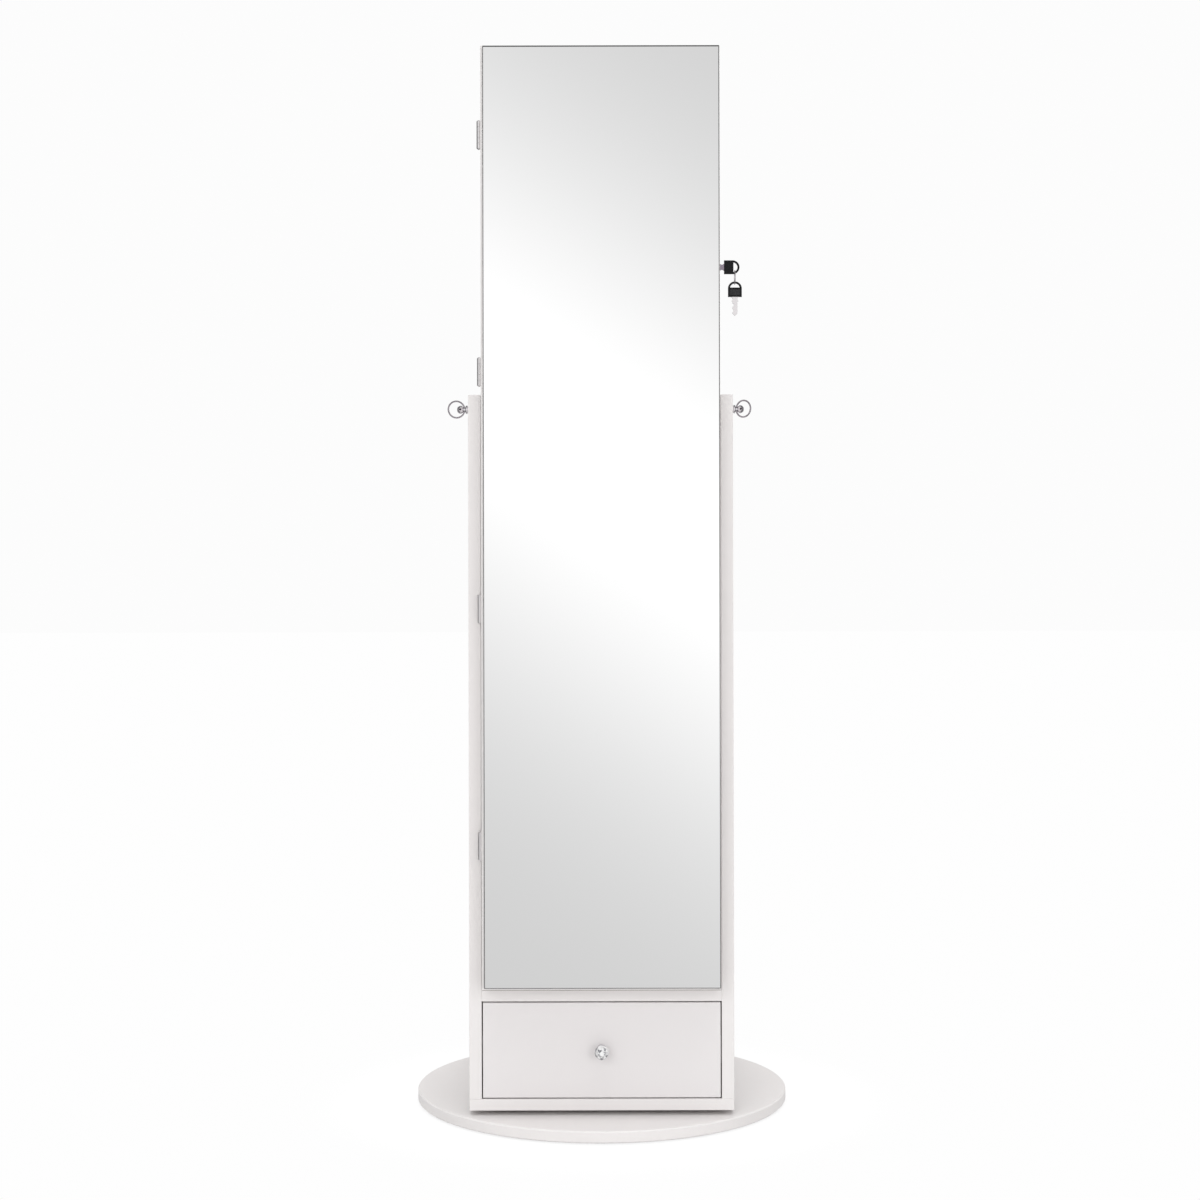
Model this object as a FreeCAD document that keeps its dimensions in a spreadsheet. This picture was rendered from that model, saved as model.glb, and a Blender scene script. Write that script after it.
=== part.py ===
"""Jewelry cabinet with a mirror door, tilting between two uprights on a swivelling base.

Millimetres. X is the viewer's right, +Y is the back, +Z is up. The origin is on the floor, on the
swivel's axis, under the centre of the round base disc.
"""
import FreeCAD, Part
import math
import os
import Sketcher

Vector = FreeCAD.Vector
Rotation = FreeCAD.Rotation

# Driving dimensions: alias, value, what it measures.
DIMENSIONS = (
    ("disc_dia", 500, "floor disc, diameter"),
    ("disc_thick", 15, "floor disc, thickness"),
    ("disc_ease", 1.6, "easing of the floor disc's rim"),
    ("pad_dia", 30, "floor pad, diameter"),
    ("pad_thick", 2, "floor pad, thickness"),
    ("pad_circle", 430, "circle of the floor pads, diameter"),
    ("pad_count", 6, "floor pads"),
    ("swivel_gap", 6, "floor disc to base box"),
    ("plate_size", 150, "swivel plate, side"),
    ("plate_thick", 1, "swivel plate, thickness"),
    ("plate_bore", 70, "swivel plate, centre hole"),
    ("race_dia", 108, "circle of the balls, diameter"),
    ("race_rib", 2.5, "width of the rib on each side of the balls"),
    ("race_height", 0.8, "height of those ribs"),
    ("race_slack", 0.2, "ball to rib"),
    ("ball_dia", 3.9, "swivel ball, diameter"),
    ("ball_count", 8, "swivel balls"),
    ("cage_width", 11, "ball cage, radial width"),
    ("cage_thick", 1.4, "ball cage, thickness"),
    ("bolt_dia", 8, "swivel bolt, shank"),
    ("bolt_head_dia", 20, "swivel bolt, head"),
    ("bolt_head_thick", 4, "swivel bolt, head thickness"),
    ("nut_radius", 9, "swivel nut, over its corners"),
    ("nut_thick", 5, "swivel nut, thickness"),
    ("run_gap", 0.06, "running fit on a radius"),
    ("seat_gap", 0.2, "moving face to its seat"),
    ("box_width", 308, "base box, width between its side panels"),
    ("box_depth", 340, "base box, depth"),
    ("board_thick", 15, "bottom board and box top"),
    ("side_thick", 16, "side panels"),
    ("back_thick", 12, "box back"),
    ("drawer_room", 125, "height of the drawer opening"),
    ("edge_ease", 0.6, "easing of visible board edges"),
    ("upright_rise", 903.5, "side panel, height above the bottom board"),
    ("post_depth", 80, "side panel, depth of its upper post"),
    ("sweep_radius", 240, "hollow sweep from the post down to the box"),
    ("rear_round", 18, "rounding of the side panel's rear corner"),
    ("pivot_setback", 35, "tilt pivot behind the uprights' front edge"),
    ("pivot_drop", 15.7, "tilt pivot below the uprights' top"),
    ("crossrail_lift", 72, "cross rail above the box top"),
    ("crossrail_height", 60, "cross rail, height"),
    ("crossrail_thick", 15, "cross rail, thickness"),
    ("bumper_dia", 12, "bumper, diameter"),
    ("bumper_thick", 2.8, "bumper, thickness"),
    ("bumper_spacing", 200, "bumpers, centre to centre"),
    ("cabinet_width", 304, "cabinet and door, width"),
    ("cabinet_height", 1199.6, "cabinet and door, height"),
    ("cabinet_depth", 78.5, "cabinet without its door, depth"),
    ("cabinet_lift", 4.4, "cabinet above the box top"),
    ("front_step", 3.5, "cabinet front edge ahead of the uprights"),
    ("wall_thick", 12, "cabinet walls"),
    ("lining_thick", 4, "cabinet back"),
    ("shelf_thick", 8, "shelf, thickness"),
    ("shelf_depth", 64, "shelf, depth"),
    ("shelf_low", 196, "top of the low shelf above the cabinet floor"),
    ("shelf_mid", 366, "top of the middle shelf above the cabinet floor"),
    ("shelf_high", 806, "top of the high shelf above the cabinet floor"),
    ("guard_rise", 22, "shelf guard above its shelf"),
    ("guard_thick", 2, "shelf guard, thickness"),
    ("peg_rail_height", 24, "necklace rail, height"),
    ("peg_rail_thick", 12, "necklace rail, thickness"),
    ("peg_rail_drop", 18, "necklace rail below the cabinet top board"),
    ("peg_pitch", 32, "necklace pegs, centre to centre"),
    ("peg_count", 8, "necklace pegs"),
    ("peg_length", 31, "necklace peg, length"),
    ("peg_radius", 2, "necklace peg, shank radius"),
    ("peg_flange", 4.5, "necklace peg, end radius"),
    ("roll_pitch", 16, "ring cushion, roll to roll"),
    ("roll_radius", 8.6, "ring cushion, roll radius"),
    ("roll_count", 6, "ring cushion, rolls"),
    ("roll_base", 14, "ring cushion, depth behind the rolls' valleys"),
    ("soft_gap", 0.3, "soft piece to its neighbours"),
    ("earring_height", 300, "earring plate, height"),
    ("earring_lift", 78, "earring plate above the middle shelf"),
    ("earring_thick", 3, "earring plate, thickness"),
    ("earring_margin", 2, "earring plate to the cabinet wall"),
    ("slot_width", 24, "earring slot, width"),
    ("slot_height", 2.4, "earring slot, height"),
    ("slot_columns", 6, "earring slots in a row"),
    ("slot_rows", 5, "rows of earring slots"),
    ("slot_column_pitch", 40, "earring slots, sideways pitch"),
    ("slot_row_pitch", 56, "earring slots, upward pitch"),
    ("cleat_size", 12, "cleats behind the earring plate"),
    ("rod_dia", 12, "bracelet rod, diameter"),
    ("rod_drop", 56, "bracelet rod below the middle shelf"),
    ("hinge_gap", 2, "door frame to cabinet front edge"),
    ("frame_depth", 13.5, "door stiles and rails, depth"),
    ("frame_width", 18, "door stiles and rails, width"),
    ("panel_thick", 9, "door panel, thickness"),
    ("mirror_thick", 4, "mirror, thickness"),
    ("mirror_width", 300, "mirror, width"),
    ("mirror_height", 1195.5, "mirror, height"),
    ("mirror_inset", 3.2, "mirror from the door's hinge edge"),
    ("mirror_drop", 1, "mirror from the door's top edge"),
    ("mirror_arris", 0.9, "ground edge of the mirror"),
    ("hinge_count", 4, "hinges"),
    ("hinge_first", 180.8, "lowest hinge's centre above the cabinet's underside"),
    ("hinge_pitch", 303.5, "hinge to hinge"),
    ("leaf_height", 35, "hinge leaf, height"),
    ("leaf_width", 13.5, "hinge leaf, from the pin's axis"),
    ("leaf_clear", 0.1, "each leaf to the joint's middle plane"),
    ("knuckle_radius", 3, "hinge knuckle, radius"),
    ("knuckle_count", 5, "knuckles in a hinge"),
    ("knuckle_gap", 0.2, "knuckle to knuckle"),
    ("pin_radius", 1.3, "hinge pin, radius"),
    ("screw_dia", 6, "pivot screw, shank"),
    ("collar_base_dia", 8.4, "pivot screw, collar at the upright"),
    ("collar_dia", 10.6, "pivot screw, collar's bead"),
    ("collar_length", 4.8, "pivot screw, collar's outer face from the upright"),
    ("neck_dia", 5.4, "pivot screw, neck"),
    ("neck_start", 5.8, "pivot screw, inner end of its neck"),
    ("neck_end", 8, "pivot screw, outer end of its neck"),
    ("head_dia", 10.4, "pivot screw, ball head's diameter"),
    ("head_length", 8.2, "pivot screw, ball head's length"),
    ("ring_reach", 6.8, "ring's cross hole from the upright"),
    ("ring_dia", 21.4, "ring, diameter of its wire's centre line"),
    ("ring_wire", 2, "ring, wire diameter"),
    ("ring_offset", 0.18, "ring wire set back in its cross hole"),
    ("cross_hole_dia", 2.8, "ring's cross hole"),
    ("left_ring_yaw", 15, "left ring turned forward, degrees"),
    ("right_ring_yaw", 35, "right ring turned forward, degrees"),
    ("screw_reach", 2, "pivot screw's end past the cabinet wall"),
    ("spacer_dia", 16, "pivot spacer, diameter"),
    ("spacer_gap", 0.1, "pivot spacer to each side"),
    ("insert_dia", 8, "threaded insert, diameter"),
    ("lock_rise", 925.1, "lock above the cabinet's underside"),
    ("lock_setback", 21.5, "lock behind the cabinet's front edge"),
    ("barrel_dia", 16, "lock barrel, diameter"),
    ("barrel_length", 22, "lock barrel, length behind its flange"),
    ("lock_flange_dia", 19, "lock flange, diameter"),
    ("lock_flange_thick", 2, "lock flange, thickness"),
    ("lock_nut_radius", 11, "lock nut, over its corners"),
    ("lock_nut_thick", 3, "lock nut, thickness"),
    ("plug_dia", 9.9, "lock plug, diameter"),
    ("plug_tail", 4, "lock plug, square tail's length"),
    ("tail_size", 6, "lock plug, square tail's side"),
    ("keyway_depth", 22, "keyway, depth"),
    ("keyway_slack", 0.2, "key blade to keyway"),
    ("cam_thick", 2, "lock cam, thickness"),
    ("cam_length", 20, "lock cam, axis to tip"),
    ("cam_width", 10, "lock cam, width"),
    ("key_reach", 8, "key bow from the cabinet's side"),
    ("key_thick", 2, "key blade, thickness"),
    ("blade_width", 6.6, "key blade, width"),
    ("blade_length", 19, "key blade in the lock, length"),
    ("shoulder_width", 9, "key neck, width at its ends"),
    ("shoulder_length", 5.5, "key neck, length"),
    ("bow_length", 20, "key bow, length"),
    ("bow_width", 17.8, "key bow, width"),
    ("bow_thick", 2.8, "key bow, thickness"),
    ("bow_rim", 2.6, "key bow, rim round its hole"),
    ("bow_ease", 0.8, "key bow, easing of its rim"),
    ("bow_web", 12.2, "key bow, solid part's length"),
    ("bow_recess", 0.4, "key bow, depth of the panel on each face"),
    ("ring_station", 14, "key ring from the bow's flat end"),
    ("key_ring_wire", 1.2, "key ring, wire"),
    ("key_ring_slack", 0.5, "key ring over the key's rim"),
    ("key_ring_dia", 17.4, "key ring, diameter of its wire's centre line"),
    ("strike_thick", 1.5, "lock strike, sheet"),
    ("strike_lift", 12, "lock strike above the lock's axis"),
    ("strike_slack", 0.5, "cam to the strike's window"),
    ("strike_height", 22, "lock strike, height of its screwed flange"),
    ("drawer_gap", 1.5, "drawer front to the box, all round"),
    ("drawer_front_thick", 15, "drawer front"),
    ("drawer_wall", 12, "drawer sides and back"),
    ("drawer_length", 300, "drawer side, length"),
    ("drawer_side_height", 104, "drawer side, height"),
    ("drawer_side_lift", 8, "drawer side above the bottom board"),
    ("drawer_floor_thick", 4, "drawer bottom"),
    ("drawer_floor_lift", 14, "drawer bottom above the bottom board"),
    ("slide_room", 12.7, "drawer side to the box's side panel"),
    ("slide_height", 35, "slide, height"),
    ("slide_sheet", 1.2, "slide, sheet thickness"),
    ("slide_lip", 10, "slide, width of its lips"),
    ("slide_lift", 42, "slide above the bottom board"),
    ("slide_length", 290, "slide, length"),
    ("knob_dia", 20, "crystal knob, diameter"),
    ("knob_depth", 14, "crystal knob, depth"),
    ("knob_base_dia", 14, "knob base, diameter"),
    ("knob_base_depth", 8, "knob base, depth"),
    ("knob_screw_dia", 4, "knob screw, shank"),
    ("knob_screw_head", 8, "knob screw, head"),
)


class Size:
    """A dimension of the sheet, or one worked out from several, with the formula that keeps it bound."""

    def __init__(self, number, formula):
        self.number = number
        self.formula = formula

    def joined(self, sign, other, number):
        return Size(number, f"({self.formula} {sign} {other.formula})")

    def __add__(self, other):
        other = sized(other)
        return self.joined("+", other, self.number + other.number)

    def __sub__(self, other):
        other = sized(other)
        return self.joined("-", other, self.number - other.number)

    def __mul__(self, other):
        other = sized(other)
        return self.joined("*", other, self.number * other.number)

    def __truediv__(self, other):
        other = sized(other)
        return self.joined("/", other, self.number / other.number)

    def __radd__(self, other):
        return sized(other) + self

    def __rsub__(self, other):
        return sized(other) - self

    def __rmul__(self, other):
        return sized(other) * self

    def __neg__(self):
        return Size(-self.number, f"(0 - {self.formula})")


def sized(value):
    """A plain number as a Size; a Size as it is."""
    return value if isinstance(value, Size) else Size(float(value), str(float(value)))


def cosine(degrees):
    return Size(math.cos(math.radians(degrees.number)), f"cos({degrees.formula} * 1 deg)")


def sine(degrees):
    return Size(math.sin(math.radians(degrees.number)), f"sin({degrees.formula} * 1 deg)")


def root(square):
    return Size(math.sqrt(square.number), f"sqrt({square.formula})")


class Dimensions:
    """The spreadsheet's cells, each reached by its alias as a Size."""

    def __init__(self, document):
        sheet = document.addObject("Spreadsheet::Sheet", "Dims")
        for row, (alias, number, meaning) in enumerate(DIMENSIONS, start=1):
            sheet.set(f"A{row}", meaning)
            sheet.set(f"B{row}", str(number))
            sheet.setAlias(f"B{row}", alias)
            setattr(self, alias, Size(float(number), f"Dims.{alias}"))


doc = FreeCAD.newDocument("jewelry_cabinet")
dim = Dimensions(doc)
doc.recompute()
subparts = {}

# ---------------------------------------------------------------------------------------------
# Levels, planes and axes that several sub-parts share.
disc_top = dim.pad_thick + dim.disc_thick
box_base = disc_top + dim.swivel_gap
room_base = box_base + dim.board_thick
room_top = room_base + dim.drawer_room
box_roof = room_top + dim.board_thick
stand_top = room_base + dim.upright_rise
front = -dim.box_depth / 2
rear = dim.box_depth / 2
half_room = dim.box_width / 2
half_box = half_room + dim.side_thick
room_rear = rear - dim.back_thick

pivot_y = front + dim.pivot_setback
pivot_z = stand_top - dim.pivot_drop

half_cabinet = dim.cabinet_width / 2
half_inside = half_cabinet - dim.wall_thick
cabinet_base = box_roof + dim.cabinet_lift
cabinet_roof = cabinet_base + dim.cabinet_height
cabinet_floor = cabinet_base + dim.wall_thick
cabinet_ceiling = cabinet_roof - dim.wall_thick
cabinet_front = front - dim.front_step
cabinet_rear = cabinet_front + dim.cabinet_depth
lining_face = cabinet_rear - dim.lining_thick

door_back = cabinet_front - dim.hinge_gap
panel_back = door_back - dim.frame_depth
panel_front = panel_back - dim.panel_thick
hinge_x = -half_cabinet - dim.knuckle_radius - dim.leaf_clear
hinge_y = (cabinet_front + door_back) / 2

lock_y = cabinet_front + dim.lock_setback
lock_z = cabinet_base + dim.lock_rise

knob_z = room_base + dim.drawer_room / 2

# Turns a piece that was drawn upright, along its own Z, towards another direction.
TO_LEFT = Rotation(Vector(0, 1, 0), -90)
TO_RIGHT = Rotation(Vector(0, 1, 0), 90)
TO_FRONT = Rotation(Vector(1, 0, 0), 90)
UPSIDE_DOWN = Rotation(Vector(1, 0, 0), 180)


# ---------------------------------------------------------------------------------------------
# Drawing helpers.
def bind(item, path, size):
    item.setExpression(path, sized(size).formula)


def place(item, x=0, y=0, z=0, rotation=Rotation()):
    """Puts an item's own origin at (x, y, z), turned by rotation."""
    item.Placement = FreeCAD.Placement(Vector(0, 0, 0), rotation)
    for axis, size in (("x", x), ("y", y), ("z", z)):
        bind(item, f"Placement.Base.{axis}", size)


def keep(label, item):
    """Enters a finished sub-part under its name."""
    item.Label = label
    subparts[label] = item
    return item


def new_body(name):
    return doc.addObject("PartDesign::Body", name + "_body")


def origin_part(body, role):
    return next(part for part in body.Origin.OriginFeatures if part.Role == role)


def sketch_on(body, role, lift=None):
    """An empty sketch on one of the body's origin planes, lifted off it along the plane's normal."""
    sketch = body.newObject("Sketcher::SketchObject", body.Name + "_sketch")
    sketch.AttachmentSupport = (origin_part(body, role), [""])
    sketch.MapMode = "FlatFace"
    if lift is not None:
        bind(sketch, "AttachmentOffset.Base.z", lift)
    return sketch


def constrain(sketch, size, *what):
    """Adds a dimensional constraint that follows a formula."""
    index = sketch.addConstraint(Sketcher.Constraint(*what, sized(size).number))
    bind(sketch, f"Constraints[{index}]", size)


def outline(sketch, corners):
    """A closed outline through (u, v) corners.

    A corner with a third value is reached by an arc of that radius, bulging to the right of the
    way that the outline runs, or to the left where the fourth value is "left". A half circle, with
    its ends straight above or beside each other, is held by its centre instead.
    """
    ends = []
    for index, corner in enumerate(corners):
        before = corners[index - 1]
        start = Vector(sized(before[0]).number, sized(before[1]).number, 0)
        end = Vector(sized(corner[0]).number, sized(corner[1]).number, 0)
        if len(corner) == 2:
            line = sketch.addGeometry(Part.LineSegment(start, end))
            ends.append((line, 1, 2))
            continue
        radius = sized(corner[2]).number
        bulge_left = len(corner) == 4
        along = end - start
        middle = (start + end) / 2
        side = Vector(along.y, -along.x, 0).normalize() * (-1 if bulge_left else 1)
        sag = radius - math.sqrt(max(radius ** 2 - along.Length ** 2 / 4, 0))
        arc_edge = Part.Arc(start, middle + side * sag, end)
        arc = sketch.addGeometry(arc_edge)
        starts_first = sketch.Geometry[arc].StartPoint.distanceToPoint(start) < 1e-6
        ends.append((arc, 1, 2) if starts_first else (arc, 2, 1))
        if along.Length < 1.999 * radius:
            constrain(sketch, corner[2], "Radius", arc)
        elif abs(along.x) < abs(along.y):
            constrain(sketch, corner[0], "DistanceX", -1, 1, arc, 3)
        else:
            constrain(sketch, corner[1], "DistanceY", -1, 1, arc, 3)
    for index, corner in enumerate(corners):
        piece, _, last = ends[index]
        after, first, _ = ends[(index + 1) % len(corners)]
        sketch.addConstraint(Sketcher.Constraint("Coincident", piece, last, after, first))
        constrain(sketch, corner[0], "DistanceX", -1, 1, piece, last)
        constrain(sketch, corner[1], "DistanceY", -1, 1, piece, last)


def rectangle(sketch, u, v):
    """A rectangle between the (low, high) values of u and v."""
    outline(sketch, ((u[0], v[0]), (u[1], v[0]), (u[1], v[1]), (u[0], v[1])))


def circle(sketch, radius, u=None, v=None):
    """A circle about the sketch's origin, or about (u, v)."""
    centre = Vector(sized(u or 0).number, sized(v or 0).number, 0)
    ring = sketch.addGeometry(Part.Circle(centre, Vector(0, 0, 1), sized(radius).number))
    constrain(sketch, radius, "Radius", ring)
    if u is None:
        sketch.addConstraint(Sketcher.Constraint("Coincident", ring, 3, -1, 1))
    else:
        constrain(sketch, u, "DistanceX", -1, 1, ring, 3)
        constrain(sketch, v, "DistanceY", -1, 1, ring, 3)


def pad(body, sketch, length, both_ways=False):
    feature = body.newObject("PartDesign::Pad", body.Name + "_pad")
    feature.Profile = sketch
    feature.SideType = "Symmetric" if both_ways else "One side"
    bind(feature, "Length", length)
    sketch.Visibility = False
    return feature


def pocket(body, sketch, depth=None):
    """Cuts a sketch down into the body: to a depth, or right through both ways."""
    feature = body.newObject("PartDesign::Pocket", body.Name + "_pocket")
    feature.Profile = sketch
    if depth is None:
        feature.Type = "ThroughAll"
        feature.SideType = "Symmetric"
    else:
        bind(feature, "Length", depth)
    return feature


def bore(body, role, radius, u=None, v=None):
    """A round hole right through, square to an origin plane."""
    sketch = sketch_on(body, role)
    circle(sketch, radius, u, v)
    return pocket(body, sketch)


def revolve(body, corners):
    """Turns an outline of (radius, height) corners about the body's own Z."""
    sketch = sketch_on(body, "XZ_Plane")
    outline(sketch, corners)
    feature = body.newObject("PartDesign::Revolution", body.Name + "_turned")
    feature.Profile = sketch
    feature.ReferenceAxis = (sketch, ["V_Axis"])
    feature.Angle = 360
    return feature


def repeat_along(body, role, pitch, count):
    """Repeats the whole body along one of its axes."""
    feature = body.newObject("PartDesign::LinearPattern", body.Name + "_row")
    feature.TransformMode = "Whole shape"
    feature.Direction = (origin_part(body, role), [""])
    feature.Mode = "Spacing"
    bind(feature, "Offset", pitch)
    bind(feature, "Occurrences", count)
    body.Tip = feature
    return feature


def repeat_round(body, count):
    """Repeats the whole body round its own Z."""
    feature = body.newObject("PartDesign::PolarPattern", body.Name + "_round")
    feature.TransformMode = "Whole shape"
    feature.Axis = (origin_part(body, "Z_Axis"), [""])
    feature.Angle = 360
    bind(feature, "Occurrences", count)
    body.Tip = feature
    return feature


def edge_names(feature, wanted):
    """Names of a feature's edges for which wanted(edge) holds."""
    doc.recompute()
    edges = feature.Shape.Edges
    return [f"Edge{number}" for number, edge in enumerate(edges, start=1) if wanted(edge)]


def dress(body, kind, feature, wanted, size):
    """A Fillet or Chamfer on the wanted edges of a feature."""
    names = edge_names(feature, wanted)
    dressing = body.newObject("PartDesign::" + kind, body.Name + "_" + kind.lower())
    dressing.Base = (feature, names)
    bind(dressing, "Radius" if kind == "Fillet" else "Size", size)
    return dressing


def board(label, x, y, z, holes=()):
    """A board between the (low, high) values of x, y and z, with its edges eased.

    Each hole is (plane, radius, u, v) and goes right through; its heights count from the board's base.
    """
    body = new_body(label)
    sketch = sketch_on(body, "XY_Plane")
    rectangle(sketch, x, y)
    slab = pad(body, sketch, z[1] - z[0])
    dress(body, "Chamfer", slab, lambda edge: True, dim.edge_ease)
    for hole in holes:
        bore(body, *hole)
    place(body, z=z[0])
    return keep(label, body)


def block(name, x, y, z):
    """A plain square-cut block between the (low, high) values of x, y and z."""
    item = doc.addObject("Part::Box", name)
    for side, (low, high) in (("Length", x), ("Width", y), ("Height", z)):
        bind(item, side, sized(high) - low)
    place(item, x[0], y[0], z[0])
    return item


def group(label, items):
    """Several alike pieces, kept apart, under one name."""
    item = doc.addObject("Part::Compound", label)
    item.Links = items
    return keep(label, item)


# ---------------------------------------------------------------------------------------------
# Base: the floor disc, its pads and the lower half of the swivel.
def floor_disc():
    body = new_body("base_disc")
    sketch = sketch_on(body, "XY_Plane")
    circle(sketch, dim.disc_dia / 2)
    slab = pad(body, sketch, dim.disc_thick)
    dress(body, "Chamfer", slab, lambda edge: len(edge.Vertexes) == 1, dim.disc_ease)
    bore(body, "XY_Plane", dim.bolt_dia / 2 + dim.run_gap)
    recess = sketch_on(body, "XY_Plane", dim.bolt_head_thick)
    circle(recess, dim.bolt_head_dia / 2 + dim.seat_gap)
    pocket(body, recess, dim.bolt_head_thick)
    place(body, z=dim.pad_thick)
    keep("base_disc", body)


def floor_pads():
    body = new_body("floor_pads")
    sketch = sketch_on(body, "XY_Plane")
    circle(sketch, dim.pad_dia / 2, dim.pad_circle / 2, 0)
    pad(body, sketch, dim.pad_thick)
    repeat_round(body, dim.pad_count)
    keep("floor_pads", body)


def swivel_plate(label, z, rotation):
    """A square pressed plate with a groove between two raised ribs, in which the balls run."""
    body = new_body(label)
    sketch = sketch_on(body, "XY_Plane")
    half = dim.plate_size / 2
    rectangle(sketch, (-half, half), (-half, half))
    circle(sketch, dim.plate_bore / 2)
    pad(body, sketch, dim.plate_thick)
    ribs = sketch_on(body, "XY_Plane", dim.plate_thick)
    inner = dim.race_dia / 2 - dim.ball_dia / 2 - dim.race_slack
    outer = dim.race_dia / 2 + dim.ball_dia / 2 + dim.race_slack
    for radius in (inner - dim.race_rib, inner, outer, outer + dim.race_rib):
        circle(ribs, radius)
    pad(body, ribs, dim.race_height)
    place(body, z=z, rotation=rotation)
    keep(label, body)


def swivel_balls():
    """Balls on a circle; each is a half disc turned about its own straight side."""
    body = new_body("swivel_balls")
    radius = dim.ball_dia / 2
    start = dim.race_dia / 2
    sketch = sketch_on(body, "XZ_Plane")
    outline(sketch, ((start, -radius), (start, radius, radius)))
    feature = body.newObject("PartDesign::Revolution", "swivel_ball_turned")
    feature.Profile = sketch
    doc.recompute()
    feature.ReferenceAxis = (sketch, ["Edge1"])
    feature.Angle = 360
    repeat_round(body, dim.ball_count)
    place(body, z=disc_top + dim.swivel_gap / 2)
    keep("swivel_balls", body)


def ball_cage():
    """A flat ring with a pocket for each ball."""
    body = new_body("ball_cage")
    middle = dim.race_dia / 2
    sketch = sketch_on(body, "XY_Plane")
    circle(sketch, middle - dim.cage_width / 2)
    circle(sketch, middle + dim.cage_width / 2)
    pad(body, sketch, dim.cage_thick, both_ways=True)
    hole = bore(body, "XY_Plane", dim.ball_dia / 2 + dim.seat_gap / 2, middle, 0)
    holes = body.newObject("PartDesign::PolarPattern", "ball_cage_pockets")
    holes.Originals = [hole]
    holes.Axis = (origin_part(body, "Z_Axis"), [""])
    holes.Angle = 360
    bind(holes, "Occurrences", dim.ball_count)
    body.Tip = holes
    place(body, z=disc_top + dim.swivel_gap / 2)
    keep("ball_cage", body)


def swivel_fixing():
    """The bolt through disc and bottom board, and its nut above the board."""
    nut_low = room_base + dim.seat_gap
    bolt_end = nut_low + dim.nut_thick + 1
    shank = dim.bolt_dia / 2
    bolt = new_body("swivel_bolt")
    head = dim.bolt_head_dia / 2
    head_top = dim.bolt_head_thick
    length = bolt_end - dim.pad_thick
    revolve(bolt, ((0, 0), (head, 0), (head, head_top), (shank, head_top), (shank, length), (0, length)))
    place(bolt, z=dim.pad_thick)
    keep("swivel_bolt", bolt)
    hex_nut("swivel_nut", dim.nut_radius, shank, dim.nut_thick, 0, 0, nut_low)


def hex_nut(label, corner_radius, hole_radius, thick, x, y, z, rotation=Rotation()):
    """A six-sided nut, its hole at the shank's own radius plus the running gap."""
    body = new_body(label)
    sketch = sketch_on(body, "XY_Plane")
    corners = []
    for step in range(6):
        angle = sized(60 * step)
        corners.append((corner_radius * cosine(angle), corner_radius * sine(angle)))
    outline(sketch, corners)
    circle(sketch, hole_radius + dim.run_gap)
    pad(body, sketch, thick)
    place(body, x, y, z, rotation)
    keep(label, body)


# ---------------------------------------------------------------------------------------------
# Stand: the base box, the two side panels that rise as uprights, and the cross rail.
def box_boards():
    """The bottom board, which turns on the swivel bolt, and the box's top and back between the panels."""
    bolt_hole = ("XY_Plane", dim.bolt_dia / 2 + dim.run_gap)
    board("bottom_board", (-half_box, half_box), (front, rear), (box_base, room_base), [bolt_hole])
    board("box_top", (-half_room, half_room), (front, rear), (room_top, box_roof))
    board("box_back", (-half_room, half_room), (room_rear, rear), (room_base, room_top))


def side_panel(label, x):
    """One board: box side below, hollow sweep, upright post above, with the pivot's bore."""
    body = new_body(label)
    sketch = sketch_on(body, "YZ_Plane")
    box_rise = dim.drawer_room + dim.board_thick
    post_rear = front + dim.post_depth
    outline(sketch, (
        (front, 0),
        (rear, 0),
        (rear, box_rise),
        (post_rear, box_rise),
        (post_rear, dim.upright_rise),
        (front, dim.upright_rise),
    ))
    slab = pad(body, sketch, dim.side_thick)

    def stands_at(y, z):
        return lambda edge: (abs(edge.CenterOfMass.y - y.number) < 1e-3
                             and abs(edge.CenterOfMass.z - z.number) < 1e-3)

    swept = dress(body, "Fillet", slab, stands_at(post_rear, box_rise), dim.sweep_radius)
    rounded = dress(body, "Fillet", swept, stands_at(rear, box_rise), dim.rear_round)
    dress(body, "Chamfer", rounded, lambda edge: edge.BoundBox.XLength < 1e-3, dim.edge_ease)
    bore(body, "YZ_Plane", dim.screw_dia / 2 + dim.run_gap, pivot_y, dim.upright_rise - dim.pivot_drop)
    place(body, x=x, z=room_base)
    keep(label, body)


def cross_rail():
    """A rail behind the cabinet that ties the uprights; its two bumpers stop the cabinet upright."""
    rail_front = cabinet_rear + dim.bumper_thick + dim.seat_gap
    rail_base = box_roof + dim.crossrail_lift
    board("cross_rail", (-half_room, half_room), (rail_front, rail_front + dim.crossrail_thick),
          (rail_base, rail_base + dim.crossrail_height))
    body = new_body("bumpers")
    sketch = sketch_on(body, "XY_Plane")
    circle(sketch, dim.bumper_dia / 2)
    pad(body, sketch, dim.bumper_thick)
    repeat_along(body, "X_Axis", dim.bumper_spacing, sized(2))
    place(body, -dim.bumper_spacing / 2, rail_front, rail_base + dim.crossrail_height / 2, TO_FRONT)
    keep("bumpers", body)


def channel(name, side, web, lip, low, high):
    """A C-shaped sheet-metal channel along Y: its web at x = web, its lips reaching to x = lip."""
    body = new_body(name)
    sketch = sketch_on(body, "XZ_Plane")
    sheet = dim.slide_sheet
    inward = sheet if lip.number > web.number else -sheet
    corners = [
        (web, low), (lip, low), (lip, low + sheet), (web + inward, low + sheet),
        (web + inward, high - sheet), (lip, high - sheet), (lip, high), (web, high),
    ]
    outline(sketch, [(u * side, v) for u, v in corners])
    pad(body, sketch, dim.slide_length)
    place(body, y=front + dim.drawer_front_thick + dim.seat_gap + dim.slide_length)
    return body


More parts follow.
